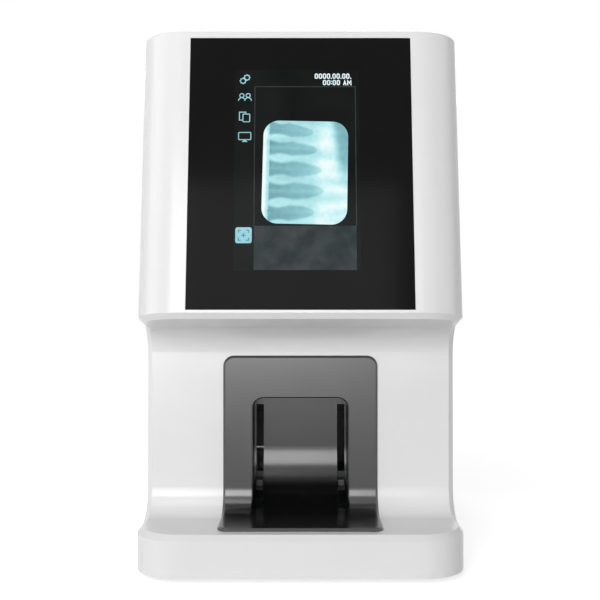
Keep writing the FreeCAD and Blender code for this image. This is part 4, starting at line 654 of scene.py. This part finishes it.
@dataclass(frozen=True)
class PlatePicture:
    """A made-up intra-oral picture, in millimetres from the middle of its lower edge."""

    width: float = 38.6
    height: float = 48.3
    corner: float = 7.2
    columns: int = 84
    rows: int = 104
    tilt: float = -1.2
    teeth: tuple[Tooth, ...] = (Tooth(4.5, 0.05, 9.5, 21.0), Tooth(15.0, 0.02, 10.5, 25.0),
                                Tooth(25.8, -0.03, 9.6, 24.0), Tooth(35.6, -0.05, 8.8, 22.0),
                                Tooth(44.8, -0.1, 8.4, 20.0))

    def density(self, side: float, height: float) -> float:
        """Brightness of the picture at a place, from 0 to 1."""
        ridges = noise.noise(Vector((side * 0.06, height * 0.28, 3.0)))
        texture = noise.noise(Vector((side * 0.45, height * 0.5, 8.0)))
        value = 0.74 + 0.16 * ridges + 0.05 * texture
        value += 0.16 * smooth_step(side, 2.0, 9.0)
        value += 0.3 * smooth_step(-side, 16.8, 18.6)
        for tooth in self.teeth:
            value -= 0.42 * tooth.shade(side, height)
            pulp = abs(height - tooth.height - tooth.tilt * (side - PICTURE_CROWNS))
            value += 0.07 * tooth.shade(side, height) * smooth_step(1.2 - pulp, 0.0, 0.9)
        sinus = side - 12.5 - 0.14 * (self.height - height)
        value -= 0.5 * smooth_step(sinus, -2.5, 2.5) * smooth_step(height, 14.0, 34.0)
        return max(0.0, min(1.0, value))

    def half_width(self, height: float) -> float:
        """Half the picture's width at a height, drawn in at its rounded corners."""
        over = max(self.corner - height, height - self.height + self.corner, 0.0)
        return self.width / 2 - self.corner + math.sqrt(max(self.corner ** 2 - over ** 2, 0.0))

    def draw(self, face: Face, middle: float, low: float, lift: float, thickness: float) -> bpy.types.Object:
        """Make the picture as a fine sheet whose points hold its density.

        Args:
            face: what it is drawn on.
            middle: where its middle lies across the face.
            low: where its lower edge lies up the face.
            lift: how far its back lies off the face.
            thickness: how thick it is.

        Returns:
            The piece.
        """
        mesh = bmesh.new()
        layer = mesh.verts.layers.float.new(DENSITY)
        tilt = math.radians(self.tilt)
        front, back = [], []
        for row in range(self.rows + 1):
            height = self.height * (1 - math.cos(math.pi * row / self.rows)) / 2
            half = self.half_width(height)
            lines: tuple[list[bmesh.types.BMVert], list[bmesh.types.BMVert]] = ([], [])
            for column in range(self.columns + 1):
                side = half * (2 * column / self.columns - 1)
                turned = (side * math.cos(tilt) - (height - self.height / 2) * math.sin(tilt),
                          side * math.sin(tilt) + (height - self.height / 2) * math.cos(tilt))
                for line, off in zip(lines, (lift + thickness, lift)):
                    vertex = mesh.verts.new(face.at(middle + turned[0], low + self.height / 2 + turned[1], off))
                    vertex[layer] = self.density(side, height)
                    line.append(vertex)
            front.append(lines[0])
            back.append(lines[1])
        for sheet in (front, back):
            for row in range(self.rows):
                for column in range(self.columns):
                    mesh.faces.new([sheet[row][column], sheet[row][column + 1],
                                    sheet[row + 1][column + 1], sheet[row + 1][column]])
        rim = [(0, column) for column in range(self.columns)]
        rim += [(row, self.columns) for row in range(self.rows)]
        rim += [(self.rows, column) for column in range(self.columns, 0, -1)]
        rim += [(row, 0) for row in range(self.rows, 0, -1)]
        for (row, column), (next_row, next_column) in zip(rim, rim[1:] + rim[:1]):
            mesh.faces.new([front[row][column], front[next_row][next_column],
                            back[next_row][next_column], back[row][column]])
        return finished("plate_picture", mesh, PICTURE, Body.CASING, 30.0)


@dataclass(frozen=True)
class Figures:
    """Plain figures drawn with an even line, in millimetres."""

    size: float
    stroke: float
    nought: float
    gap: float
    point: float

    def advance(self, sign: str) -> float:
        """How far a sign moves the pen on."""
        wide = {".": self.point, ":": self.point, " ": self.nought * 0.55, "M": self.nought * 1.25}
        return wide.get(sign, self.nought) + self.gap

    def write(self, ink: Ink, text: str, right: float, low: float) -> None:
        """Write noughts, stops and the letters of a time, ending at the right."""
        left = right - sum(self.advance(sign) for sign in text) + self.gap
        for sign in text:
            wide = self.advance(sign) - self.gap
            middle = left + wide / 2
            edge = self.stroke / 2
            x0, x1, y0, y1 = left + edge, left + wide - edge, low + edge, low + self.size - edge
            if sign == "0":
                ink.line(rounded(x0, x1, y0, y1, (x1 - x0) / 2 - 0.01), self.stroke, True)
            elif sign in ".:":
                for height in ([y0] if sign == "." else [y0 + self.size * 0.18, y1 - self.size * 0.18]):
                    ink.fill(circle((middle, height), self.stroke * 0.55, 12))
            elif sign == "A":
                bar = y0 + (y1 - y0) * 0.32
                ink.line([(x0, y0 - edge), (middle, y1), (x1, y0 - edge)], self.stroke)
                ink.line([(x0 + 0.3, bar), (x1 - 0.3, bar)], self.stroke)
            elif sign == "M":
                ink.line([(x0, y0 - edge), (x0, y1), (middle, y0 + self.size * 0.25), (x1, y1), (x1, y0 - edge)],
                         self.stroke)
            left += self.advance(sign)


@dataclass(frozen=True)
class Screen:
    """The head's black glass and the picture it shows. Places are millimetres from the middle of the
    glass's lower edge."""

    nodes: tuple[str, ...] = ("cover_glass", "glass_gasket", "display_panel", "display_bracket",
                              "display_board")
    lift: float = 0.02
    film: float = 0.02
    lit_left: float = -30.0
    lit_right: float = 27.0
    lit_low: float = 17.4
    lit_high: float = 111.8
    viewer_left: float = -20.9
    viewer_right: float = 25.2
    viewer_top: float = 103.7
    slate_top: float = 38.0
    picture_middle: float = 2.1
    picture_low: float = 38.8
    icon_line: float = 0.42

    def dress(self) -> None:
        """Finish the glass and what holds the display."""
        for node in self.nodes:
            dress(node, SLOT_FINISHES[slot_of(node)])

    def ink(self, layer: int) -> Ink:
        """A fresh drawing on the glass, in one of the layers that lie over each other."""
        return Ink(Face.of("cover_glass", Direction.FRONT), self.lift + layer * self.film, self.film)

    def build(self) -> None:
        """Draw the lit field, the viewer with its picture, the column of signs and the clock."""
        field = self.ink(0)
        field.fill(rounded(self.lit_left, self.lit_right, self.lit_low, self.lit_high, 0.3))
        field.piece("lit_field", LIT_BLACK, Body.CASING, Slot.SCREEN)
        slate = self.ink(1)
        slate.fill([(self.viewer_left, self.lit_low + 0.4), (self.viewer_right, self.lit_low + 0.4),
                    (self.viewer_right, self.slate_top), (self.viewer_left, self.slate_top)])
        slate.piece("slate_field", SLATE_FIELD, Body.CASING, Slot.SCREEN)
        border = self.ink(2)
        border.line([(self.viewer_left, self.slate_top), (self.viewer_left, self.viewer_top),
                     (self.viewer_right, self.viewer_top), (self.viewer_right, self.slate_top)], 0.5)
        border.piece("viewer_border", VIEWER_LINES, Body.CASING, Slot.SCREEN)
        PlatePicture().draw(Face.of("cover_glass", Direction.FRONT), self.picture_middle, self.picture_low,
                            self.lift + self.film, self.film)
        self.signs()
        self.button()
        clock = self.ink(1)
        figures = Figures(2.6, 0.52, 1.62, 0.24, 0.5)
        figures.write(clock, "0000.00.00.", 23.4, 107.5)
        figures.write(clock, "00:00 AM", 23.5, 104.4)
        clock.piece("clock_figures", WHITE_FIGURES, Body.CASING, Slot.SCREEN)

    def signs(self) -> None:
        """Draw the settings, patients, pages and monitor signs down the left side."""
        ink = self.ink(1)
        for middle, radius in (((-26.4, 106.5), 1.15), ((-24.6, 108.1), 1.15)):
            ink.line(circle(middle, radius, 24), self.icon_line, True)
            for angle in range(0, 360, 45):
                ends = [circle(middle, reach, 1, angle)[0] for reach in (radius, radius + 0.45)]
                ink.line(ends, self.icon_line)
        for middle in (-26.9, -24.0):
            ink.line(circle((middle, 99.4), 0.95, 20), self.icon_line, True)
            ink.line(circle((middle, 96.9), 1.5, 12, 0.0, 180.0), self.icon_line)
        ink.line([(-26.6, 87.6), (-27.9, 87.6), (-27.9, 91.4), (-25.0, 91.4), (-25.0, 90.9)], self.icon_line)
        ink.line(rounded(-26.3, -23.2, 86.8, 90.5, 0.35), self.icon_line, True)
        ink.line(rounded(-28.2, -22.6, 78.3, 81.7, 0.35), self.icon_line, True)
        ink.line([(-25.4, 78.3), (-25.4, 77.5)], 1.5)
        ink.line([(-26.6, 77.4), (-24.2, 77.4)], self.icon_line)
        ink.piece("column_signs", PALE_LINES, Body.CASING, Slot.SCREEN)

    def button(self) -> None:
        """Draw the lit square button and a plain enlarging sign on it."""
        ink = self.ink(1)
        ink.fill(rounded(-29.2, -21.8, 30.0, 37.3, 1.0))
        ink.piece("square_button", BUTTON_FILL, Body.CASING, Slot.SCREEN)
        sign = self.ink(2)
        middle = (-25.5, 33.65)
        for turn in range(4):
            angle = math.radians(90 * turn)
            corner = [(2.3, 1.1), (2.3, 2.3), (1.1, 2.3)]
            sign.line([(middle[0] + x * math.cos(angle) - y * math.sin(angle),
                        middle[1] + x * math.sin(angle) + y * math.cos(angle)) for x, y in corner], 0.4)
        sign.line([(middle[0] - 1.0, middle[1]), (middle[0] + 1.0, middle[1])], 0.4)
        sign.line([(middle[0], middle[1] - 1.0), (middle[0], middle[1] - 0.21)], 0.4)
        sign.line([(middle[0], middle[1] + 0.21), (middle[0], middle[1] + 1.0)], 0.4)
        sign.piece("button_sign", BUTTON_SIGN, Body.CASING, Slot.SCREEN)


def slot_of(node: str) -> str:
    """The record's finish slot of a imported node, which its first material is named after."""
    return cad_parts[node].data.materials[0].name.split(".")[0]


def solids_of(node: str) -> list[list[Vector]]:
    """The corner points of each separate solid in a node."""
    mesh = bmesh.new()
    mesh.from_mesh(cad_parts[node].data)
    bmesh.ops.remove_doubles(mesh, verts=mesh.verts, dist=1e-6)
    left = set(mesh.verts)
    solids = []
    while left:
        reached = {left.pop()}
        front = list(reached)
        while front:
            vertex = front.pop()
            for edge in vertex.link_edges:
                other = edge.other_vert(vertex)
                if other not in reached:
                    reached.add(other)
                    front.append(other)
        left -= reached
        solids.append([vertex.co.copy() for vertex in reached])
    mesh.free()
    return solids


def threaded(mesh: bmesh.types.BMesh, turn: Matrix, root: float, crest: float, lead: float, starts: int,
             length: float, steps: int = 28) -> None:
    """Add a closed threaded rod along +Z of a turned frame, from 0 to its length.

    Args:
        mesh: where the faces go.
        turn: carries the rod's frame to the machine's.
        root: radius between the threads, in metres as every length here.
        crest: radius at the threads' tops.
        lead: how far one turn carries a thread on.
        starts: how many threads run side by side.
        length: how long the rod is.
        steps: faces round the rod.
    """
    pitch = lead / starts
    rows = max(2, math.ceil(length / pitch * 8))
    grid = []
    for row in range(rows + 1):
        height = length * row / rows
        ring = []
        for step in range(steps):
            angle = math.tau * step / steps
            phase = (height / pitch - starts * angle / math.tau) % 1.0
            radius = root + (crest - root) * min(1.0, 1.6 * (1 - abs(2 * phase - 1)))
            point = Vector((radius * math.cos(angle), radius * math.sin(angle), height))
            ring.append(mesh.verts.new(turn @ point))
        grid.append(ring)
    skin(mesh, grid)


def skin(mesh: bmesh.types.BMesh, rings: Sequence[Sequence[bmesh.types.BMVert]]) -> None:
    """Join a row of rings with quads and close both ends."""
    count = len(rings[0])
    for low, high in zip(rings, rings[1:]):
        for step in range(count):
            ahead = (step + 1) % count
            mesh.faces.new([low[step], low[ahead], high[ahead], high[step]])
    mesh.faces.new(rings[0])
    mesh.faces.new(rings[-1])


@dataclass(frozen=True)
class PanScrew:
    """A pan-head screw with a cross recess, as shares of its head's radius and height."""

    head_radius: float
    head_height: float
    shank_radius: float
    length: float
    thread_pitch: float = 1.0 * MM
    flat_share: float = 0.78
    arm_share: float = 0.56
    slot_share: float = 0.15
    depth_share: float = 0.62
    steps: int = 32

    def add(self, mesh: bmesh.types.BMesh, turn: Matrix) -> None:
        """Add the screw with its head's seat at the turned frame's origin and its head along +Z."""
        profile = [(1.0, 0.0), (1.0, 0.5), (0.96, 0.75), (0.88, 0.93), (self.flat_share, 1.0)]
        rings = []
        for radius, height in profile:
            ring = circle((0, 0), radius * self.head_radius, self.steps)
            rings.append([mesh.verts.new(turn @ Vector((x, y, height * self.head_height))) for x, y in ring])
        for low, high in zip(rings, rings[1:]):
            for step in range(self.steps):
                ahead = (step + 1) % self.steps
                mesh.faces.new([low[step], low[ahead], high[ahead], high[step]])
        mesh.faces.new(rings[0])
        mouth = self.cross(mesh, turn, 1.0, self.head_height)
        floor = self.cross(mesh, turn, 0.6, self.head_height * (1 - self.depth_share))
        count = len(mouth)
        for step in range(count):
            ahead = (step + 1) % count
            mesh.faces.new([mouth[step], mouth[ahead], floor[ahead], floor[step]])
        mesh.faces.new(floor)
        per_arm = self.steps // 4
        for arm in range(4):
            rim = [rings[-1][(arm * per_arm + step) % self.steps] for step in range(per_arm + 1)]
            cut = [mouth[(3 * arm + step) % count] for step in range(4)]
            mesh.faces.new(rim + cut[::-1])
        threaded(mesh, turn @ Matrix.Rotation(math.pi, 4, "X"), self.shank_radius * 0.78, self.shank_radius,
                 self.thread_pitch, 1, self.length, 20)

    def cross(self, mesh: bmesh.types.BMesh, turn: Matrix, share: float, height: float
              ) -> list[bmesh.types.BMVert]:
        """The twelve corners of the recess at a height, drawn in to a share of its size."""
        arm, half = self.arm_share * self.head_radius * share, self.slot_share * self.head_radius * share
        corners = []
        for quarter in range(4):
            spin = Matrix.Rotation(math.pi / 2 * quarter, 4, "Z")
            for point in (Vector((arm, half, 0)), Vector((half, half, 0)), Vector((half, arm, 0))):
                turned = spin @ point
                corners.append(mesh.verts.new(turn @ Vector((turned.x, turned.y, height))))
        return corners[0:1] + corners[1:]


@dataclass(frozen=True)
class Casing:
    """The two white mouldings, their bottom plate, feet and screws."""

    nodes: tuple[str, ...] = ("front_cover", "rear_cover", "bottom_plate", "rubber_feet", "case_screws")

    def dress(self) -> None:
        """Finish the covers, plate and feet."""
        for node in self.nodes:
            dress(node, SLOT_FINISHES[slot_of(node)])

    def build(self) -> None:
        """Stand a screw with a recess and a thread in the place of each plain one."""
        mesh = bmesh.new()
        for points in solids_of("case_screws"):
            self.screw(mesh, points)
        piece = finished("cross_recess_screws", mesh, SCREW_STEEL, Body.CASING, 35.0)
        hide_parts("case_screws")

    def screw(self, mesh: bmesh.types.BMesh, points: list[Vector]) -> None:
        """Add one screw where a plain solid is, by the solid's own head, shank and direction."""
        low = Vector([min(point[axis] for point in points) for axis in range(3)])
        high = Vector([max(point[axis] for point in points) for axis in range(3)])
        spans = high - low
        axis = max(range(3), key=lambda index: spans[index])
        middle = (low + high) / 2
        ends = []
        for end in (low[axis], high[axis]):
            near = [point for point in points if abs(point[axis] - end) < 0.05 * MM]
            ends.append(max(self.off_axis(point, middle, axis) for point in near))
        outward = 1.0 if ends[1] > ends[0] else -1.0
        head_radius, shank_radius = max(ends), min(ends)
        seats = [point[axis] for point in points if self.off_axis(point, middle, axis) > 0.9 * head_radius]
        seat = min(seats) if outward > 0 else max(seats)
        head_height = max(seats) - min(seats)
        place = middle.copy()
        place[axis] = seat
        direction = Vector((0, 0, 0))
        direction[axis] = outward
        turn = Matrix.Translation(place) @ direction.to_track_quat("Z", "Y").to_matrix().to_4x4()
        PanScrew(head_radius, head_height, shank_radius, spans[axis] - head_height).add(mesh, turn)

    @staticmethod
    def off_axis(point: Vector, middle: Vector, axis: int) -> float:
        """A point's distance from a line along an axis."""
        away = point - middle
        away[axis] = 0.0
        return away.length


@dataclass(frozen=True)
class LoadingNiche:
    """The dark insert and the curved liner behind its arch."""

    nodes: tuple[str, ...] = ("niche_insert", "niche_liner")

    def dress(self) -> None:
        """Finish the insert with the lit copy of the dark gloss, whose lighter colour and stronger reflection are
        painted light, and the liner with the shaded copy, whose darker colour and weaker reflection are painted
        shade for the recess.
        """
        for node, finish in zip(self.nodes, (LIT_NICHE_GLOSS, SHADED_NICHE_GLOSS)):
            dress(node, finish)


@dataclass(frozen=True)
class PlateLift:
    """The carriage with its fingers, on two rods and a four-start screw."""

    nodes: tuple[str, ...] = ("lift_frame", "lift_rods", "lift_carriage", "lift_bushes", "lift_nut",
                              "lift_motor", "lift_screw")
    lead: float = 8.0
    starts: int = 4
    root_share: float = 0.8
    journal_length: float = 2.3
    journal_radius: float = 2.0

    def dress(self) -> None:
        """Finish the lift's nodes, with the rods turned upright."""
        for node in self.nodes:
            dress(node, SLOT_FINISHES[slot_of(node)])
        dress("lift_rods", UPRIGHT_STEEL)

    def build(self) -> None:
        """Stand a threaded screw in the place of the plain one."""
        low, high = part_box("lift_screw")
        radius = (high.x - low.x) / 2
        middle = (low + high) / 2
        length = high.z - low.z - self.journal_length * MM
        mesh = bmesh.new()
        turn = Matrix.Translation((middle.x, middle.y, low.z))
        threaded(mesh, turn, radius * self.root_share, radius, self.lead * MM, self.starts, length, 48)
        rings = []
        for height, reach in ((length - 0.5 * MM, self.journal_radius * MM),
                              (high.z - low.z, self.journal_radius * MM)):
            ring = circle((0, 0), reach, 32)
            rings.append([mesh.verts.new(turn @ Vector((x, y, height))) for x, y in ring])
        skin(mesh, rings)
        piece = finished("threaded_lift_screw", mesh, UPRIGHT_STEEL, Body.LIFT_SCREW, 40.0)
        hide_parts("lift_screw")


@dataclass(frozen=True)
class Transport:
    """Side plates, guides, rollers and the belt drive that carry the plate up and back."""

    nodes: tuple[str, ...] = (
        "left_side_plate", "right_side_plate", "roller_bearings", "front_guide", "rear_guide",
        "lower_pulley", "upper_pulley", "motor_pulley", "drive_belt", "motor_bracket", "feed_motor",
        "motor_shaft", "lower_drive_shaft", "upper_drive_shaft", "lower_drive_sleeve",
        "upper_drive_sleeve", "lower_pinch_roller", "upper_pinch_roller")

    def dress(self) -> None:
        """Finish each node by its slot."""
        for node in self.nodes:
            dress(node, SLOT_FINISHES[slot_of(node)])


@dataclass(frozen=True)
class ScanOptics:
    """The bench with the laser, the swinging mirror, the lens, the light guide and the detector."""

    nodes: tuple[str, ...] = (
        "optics_bench", "chassis_posts", "laser_module", "laser_mount", "scan_motor", "mirror_holder",
        "scan_mirror", "lens_holder", "scan_lens", "light_guide", "blue_filter", "detector_module",
        "detector_bracket", "erase_board", "erase_heat_sink")

    def dress(self) -> None:
        """Finish each node by its slot."""
        for node in self.nodes:
            dress(node, SLOT_FINISHES[slot_of(node)])


@dataclass(frozen=True)
class RearBay:
    """The main board with its sockets and the power switch, all reached from the back."""

    nodes: tuple[str, ...] = ("main_board", "processor_heat_sink", "network_socket", "usb_socket",
                              "dc_inlet", "rocker_housing", "power_rocker")
    contact_count: int = 8
    contact_pitch: float = 1.02
    contact_width: float = 0.4
    contact_length: float = 8.5
    contact_drop: float = 2.2
    contact_inset: float = 1.2
    jack_roof: float = 2.8
    mark_size: float = 3.0
    mark_line: float = 0.45

    def dress(self) -> None:
        """Finish each node by its slot."""
        for node in self.nodes:
            dress(node, SLOT_FINISHES[slot_of(node)])

    def build(self) -> None:
        """Add the spring contacts of the network socket and the marks on the rocker."""
        self.contacts()
        self.marks()

    def contacts(self) -> None:
        """Bend a row of wires down from the socket's roof towards its back."""
        low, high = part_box("network_socket")
        middle = (low.x + high.x) / 2
        roof = high.z - self.jack_roof * MM
        mesh = bmesh.new()
        half = self.contact_width / 2 * MM
        for index in range(self.contact_count):
            x = middle + (index - (self.contact_count - 1) / 2) * self.contact_pitch * MM
            front = high.y - self.contact_inset * MM
            path = [(front, roof), (front - 0.35 * self.contact_length * MM, roof - 0.6 * self.contact_drop * MM),
                    (front - self.contact_length * MM, roof - self.contact_drop * MM)]
            rings = []
            for y, z in path:
                corners = [(x - half, z), (x + half, z), (x + half, z - 2 * half), (x - half, z - 2 * half)]
                rings.append([mesh.verts.new((side, y, height)) for side, height in corners])
            skin(mesh, rings)
        finished("network_contacts", mesh, CONTACT_GOLD, Body.CASING)

    def marks(self) -> None:
        """Print a bar on the rocker's upper half and a ring on its lower half."""
        upper = Ink(Face.of("power_rocker", Direction.BACK, True), 0.01, 0.03)
        upper.line([(0, 2.0), (0, 2.0 + self.mark_size)], self.mark_line)
        upper.piece("rocker_bar_mark", MARK_PAINT, Body.ROCKER, Slot.DARK_PLASTIC)
        lower = Ink(Face.of("power_rocker", Direction.BACK, False), 0.01, 0.03)
        lower.line(circle((0, 3.6), self.mark_size / 2, 32), self.mark_line, True)
        lower.piece("rocker_ring_mark", MARK_PAINT, Body.ROCKER, Slot.DARK_PLASTIC)


@dataclass(frozen=True)
class SoftBox:
    """A rectangular studio lamp, aimed at the machine."""

    name: str
    azimuth: float
    elevation: float
    distance: float
    width: float
    height: float
    power: float
    aim: tuple[float, float, float] = (0.0, 0.0, 0.12)

    def hang(self) -> None:
        """Place the lamp. The azimuth is from straight ahead of the front, to the right."""
        lamp = bpy.data.lights.new(self.name, "AREA")
        lamp.shape = "RECTANGLE"
        lamp.size, lamp.size_y, lamp.energy = self.width, self.height, self.power
        holder = bpy.data.objects.new(self.name, lamp)
        bpy.context.scene.collection.objects.link(holder)
        turn, rise = math.radians(self.azimuth), math.radians(self.elevation)
        aim = Vector(self.aim)
        away = Vector((math.sin(turn) * math.cos(rise), -math.cos(turn) * math.cos(rise), math.sin(rise)))
        holder.location = aim + away * self.distance
        holder.rotation_euler = (-away).to_track_quat("-Z", "Y").to_euler()


@dataclass(frozen=True)
class Studio:
    """A white room: a pale floor, an even surround and soft lamps."""

    floor_size: float = 8.0
    floor_tone: str = "e6e6e6"
    near_glow: float = 0.62
    far_glow: float = 0.97
    near_reach: float = 0.25
    far_reach: float = 1.6
    surround: float = 0.05
    lamps: tuple[SoftBox, ...] = (
        SoftBox("front_left_lamp", -20.0, 11.5, 1.6, 0.55, 0.82, 7.6),
        SoftBox("front_lamp", -2.5, 11.5, 1.6, 0.55, 0.82, 6.4),
        SoftBox("high_lamp", -30.0, 50.0, 1.7, 1.0, 0.9, 4.8),
        SoftBox("left_lamp", -80.0, 20.0, 1.5, 1.0, 1.0, 3.9),
        SoftBox("right_lamp", 80.0, 20.0, 1.5, 1.0, 1.0, 2.2),
        SoftBox("back_lamp", 180.0, 35.0, 1.5, 1.2, 1.0, 9.0),
    )

    def build(self) -> None:
        """Lay the floor, set the surround and hang the lamps."""
        self.floor()
        self.room()
        for lamp in self.lamps:
            lamp.hang()

    def floor(self) -> None:
        """Lay a floor that shows white to the camera where no shadow falls."""
        mesh = bmesh.new()
        bmesh.ops.create_grid(mesh, x_segments=1, y_segments=1, size=self.floor_size / 2)
        data = bpy.data.meshes.new("studio_floor")
        mesh.to_mesh(data)
        mesh.free()
        floor = bpy.data.objects.new("studio_floor", data)
        bpy.context.scene.collection.objects.link(floor)
        recipe = Recipe("studio_floor")
        seen = self.seen(recipe.tree)
        dust = recipe.clouds(900.0, 2.0)
        away = recipe.add("VectorMath", {"Vector": recipe.places}, operation="LENGTH").outputs["Value"]
        glow = recipe.span(away, self.near_glow, self.far_glow, self.near_reach, self.far_reach)
        recipe.shade(Base_Color=recipe.tones(dust, (0.3, tone(self.floor_tone, 0.99)), (0.7, tone(self.floor_tone))),
                     Roughness=0.9, Specular_IOR_Level=0.0, Emission_Color=tone("ffffff"),
                     Emission_Strength=recipe.sum("MULTIPLY", seen, glow))
        data.materials.append(recipe.material)

    @staticmethod
    def seen(tree: bpy.types.NodeTree) -> bpy.types.NodeSocket:
        """1 where a ray comes from the camera, or by way of gloss or glass, and 0 where it lights."""
        path = tree.nodes.new("ShaderNodeLightPath")
        result = path.outputs["Is Camera Ray"]
        for kind in ("Is Glossy Ray", "Is Transmission Ray"):
            either = tree.nodes.new("ShaderNodeMath")
            either.operation = "MAXIMUM"
            tree.links.new(result, either.inputs[0])
            tree.links.new(path.outputs[kind], either.inputs[1])
            result = either.outputs["Value"]
        return result

    def room(self) -> None:
        """Light evenly from all round, and show white behind."""
        world = bpy.data.worlds.new("studio_room")
        bpy.context.scene.world = world
        world.use_nodes = True
        tree = world.node_tree
        background = tree.nodes["Background"]
        background.inputs["Color"].default_value = (1, 1, 1, 1)
        strength = tree.nodes.new("ShaderNodeMapRange")
        strength.inputs["To Min"].default_value = self.surround
        strength.inputs["To Max"].default_value = 1.0
        tree.links.new(self.seen(tree), strength.inputs["Value"])
        tree.links.new(strength.outputs["Result"], background.inputs["Strength"])


@dataclass(frozen=True)
class PhotoCamera:
    """The photograph's viewpoint: level, straight ahead of the base's front face."""

    lens: float = 53.82
    distance: float = 394.0
    height: float = 123.3
    shift_right: float = -0.0007
    shift_up: float = 0.005

    def build(self) -> None:
        """Stand the camera ahead of the front cover and make it the scene's own."""
        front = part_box("front_cover")[0].y
        camera = bpy.data.cameras.new("photo_camera")
        camera.lens = self.lens
        camera.shift_x, camera.shift_y = self.shift_right, self.shift_up
        camera.clip_start = 0.01
        holder = bpy.data.objects.new("photo_camera", camera)
        bpy.context.scene.collection.objects.link(holder)
        holder.location = (0.0, front - self.distance * MM, self.height * MM)
        holder.rotation_euler = (math.radians(90), 0, 0)
        bpy.context.scene.camera = holder


def corners(box: Iterable[Iterable[float]]) -> list[list[float]]:
    """A box's two corners as plain lists."""
    return [[float(value) for value in corner] for corner in box]


def main() -> None:
    """Build the studio and every sub-assembly in order."""
    logging.basicConfig(level=logging.INFO, format="%(name)s: %(message)s")
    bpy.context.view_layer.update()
    bpy.context.scene.view_settings.view_transform = "Standard"
    PhotoCamera().build()
    Studio().build()
    for assembly in (Casing(), Screen(), LoadingNiche(), PlateLift(), Transport(), ScanOptics(), RearBay()):
        assembly.dress()
        LOG.info("%s: %d nodes dressed", type(assembly).__name__, len(assembly.nodes))
        if hasattr(assembly, "build"):
            assembly.build()


if __name__ == "__main__":
    main()
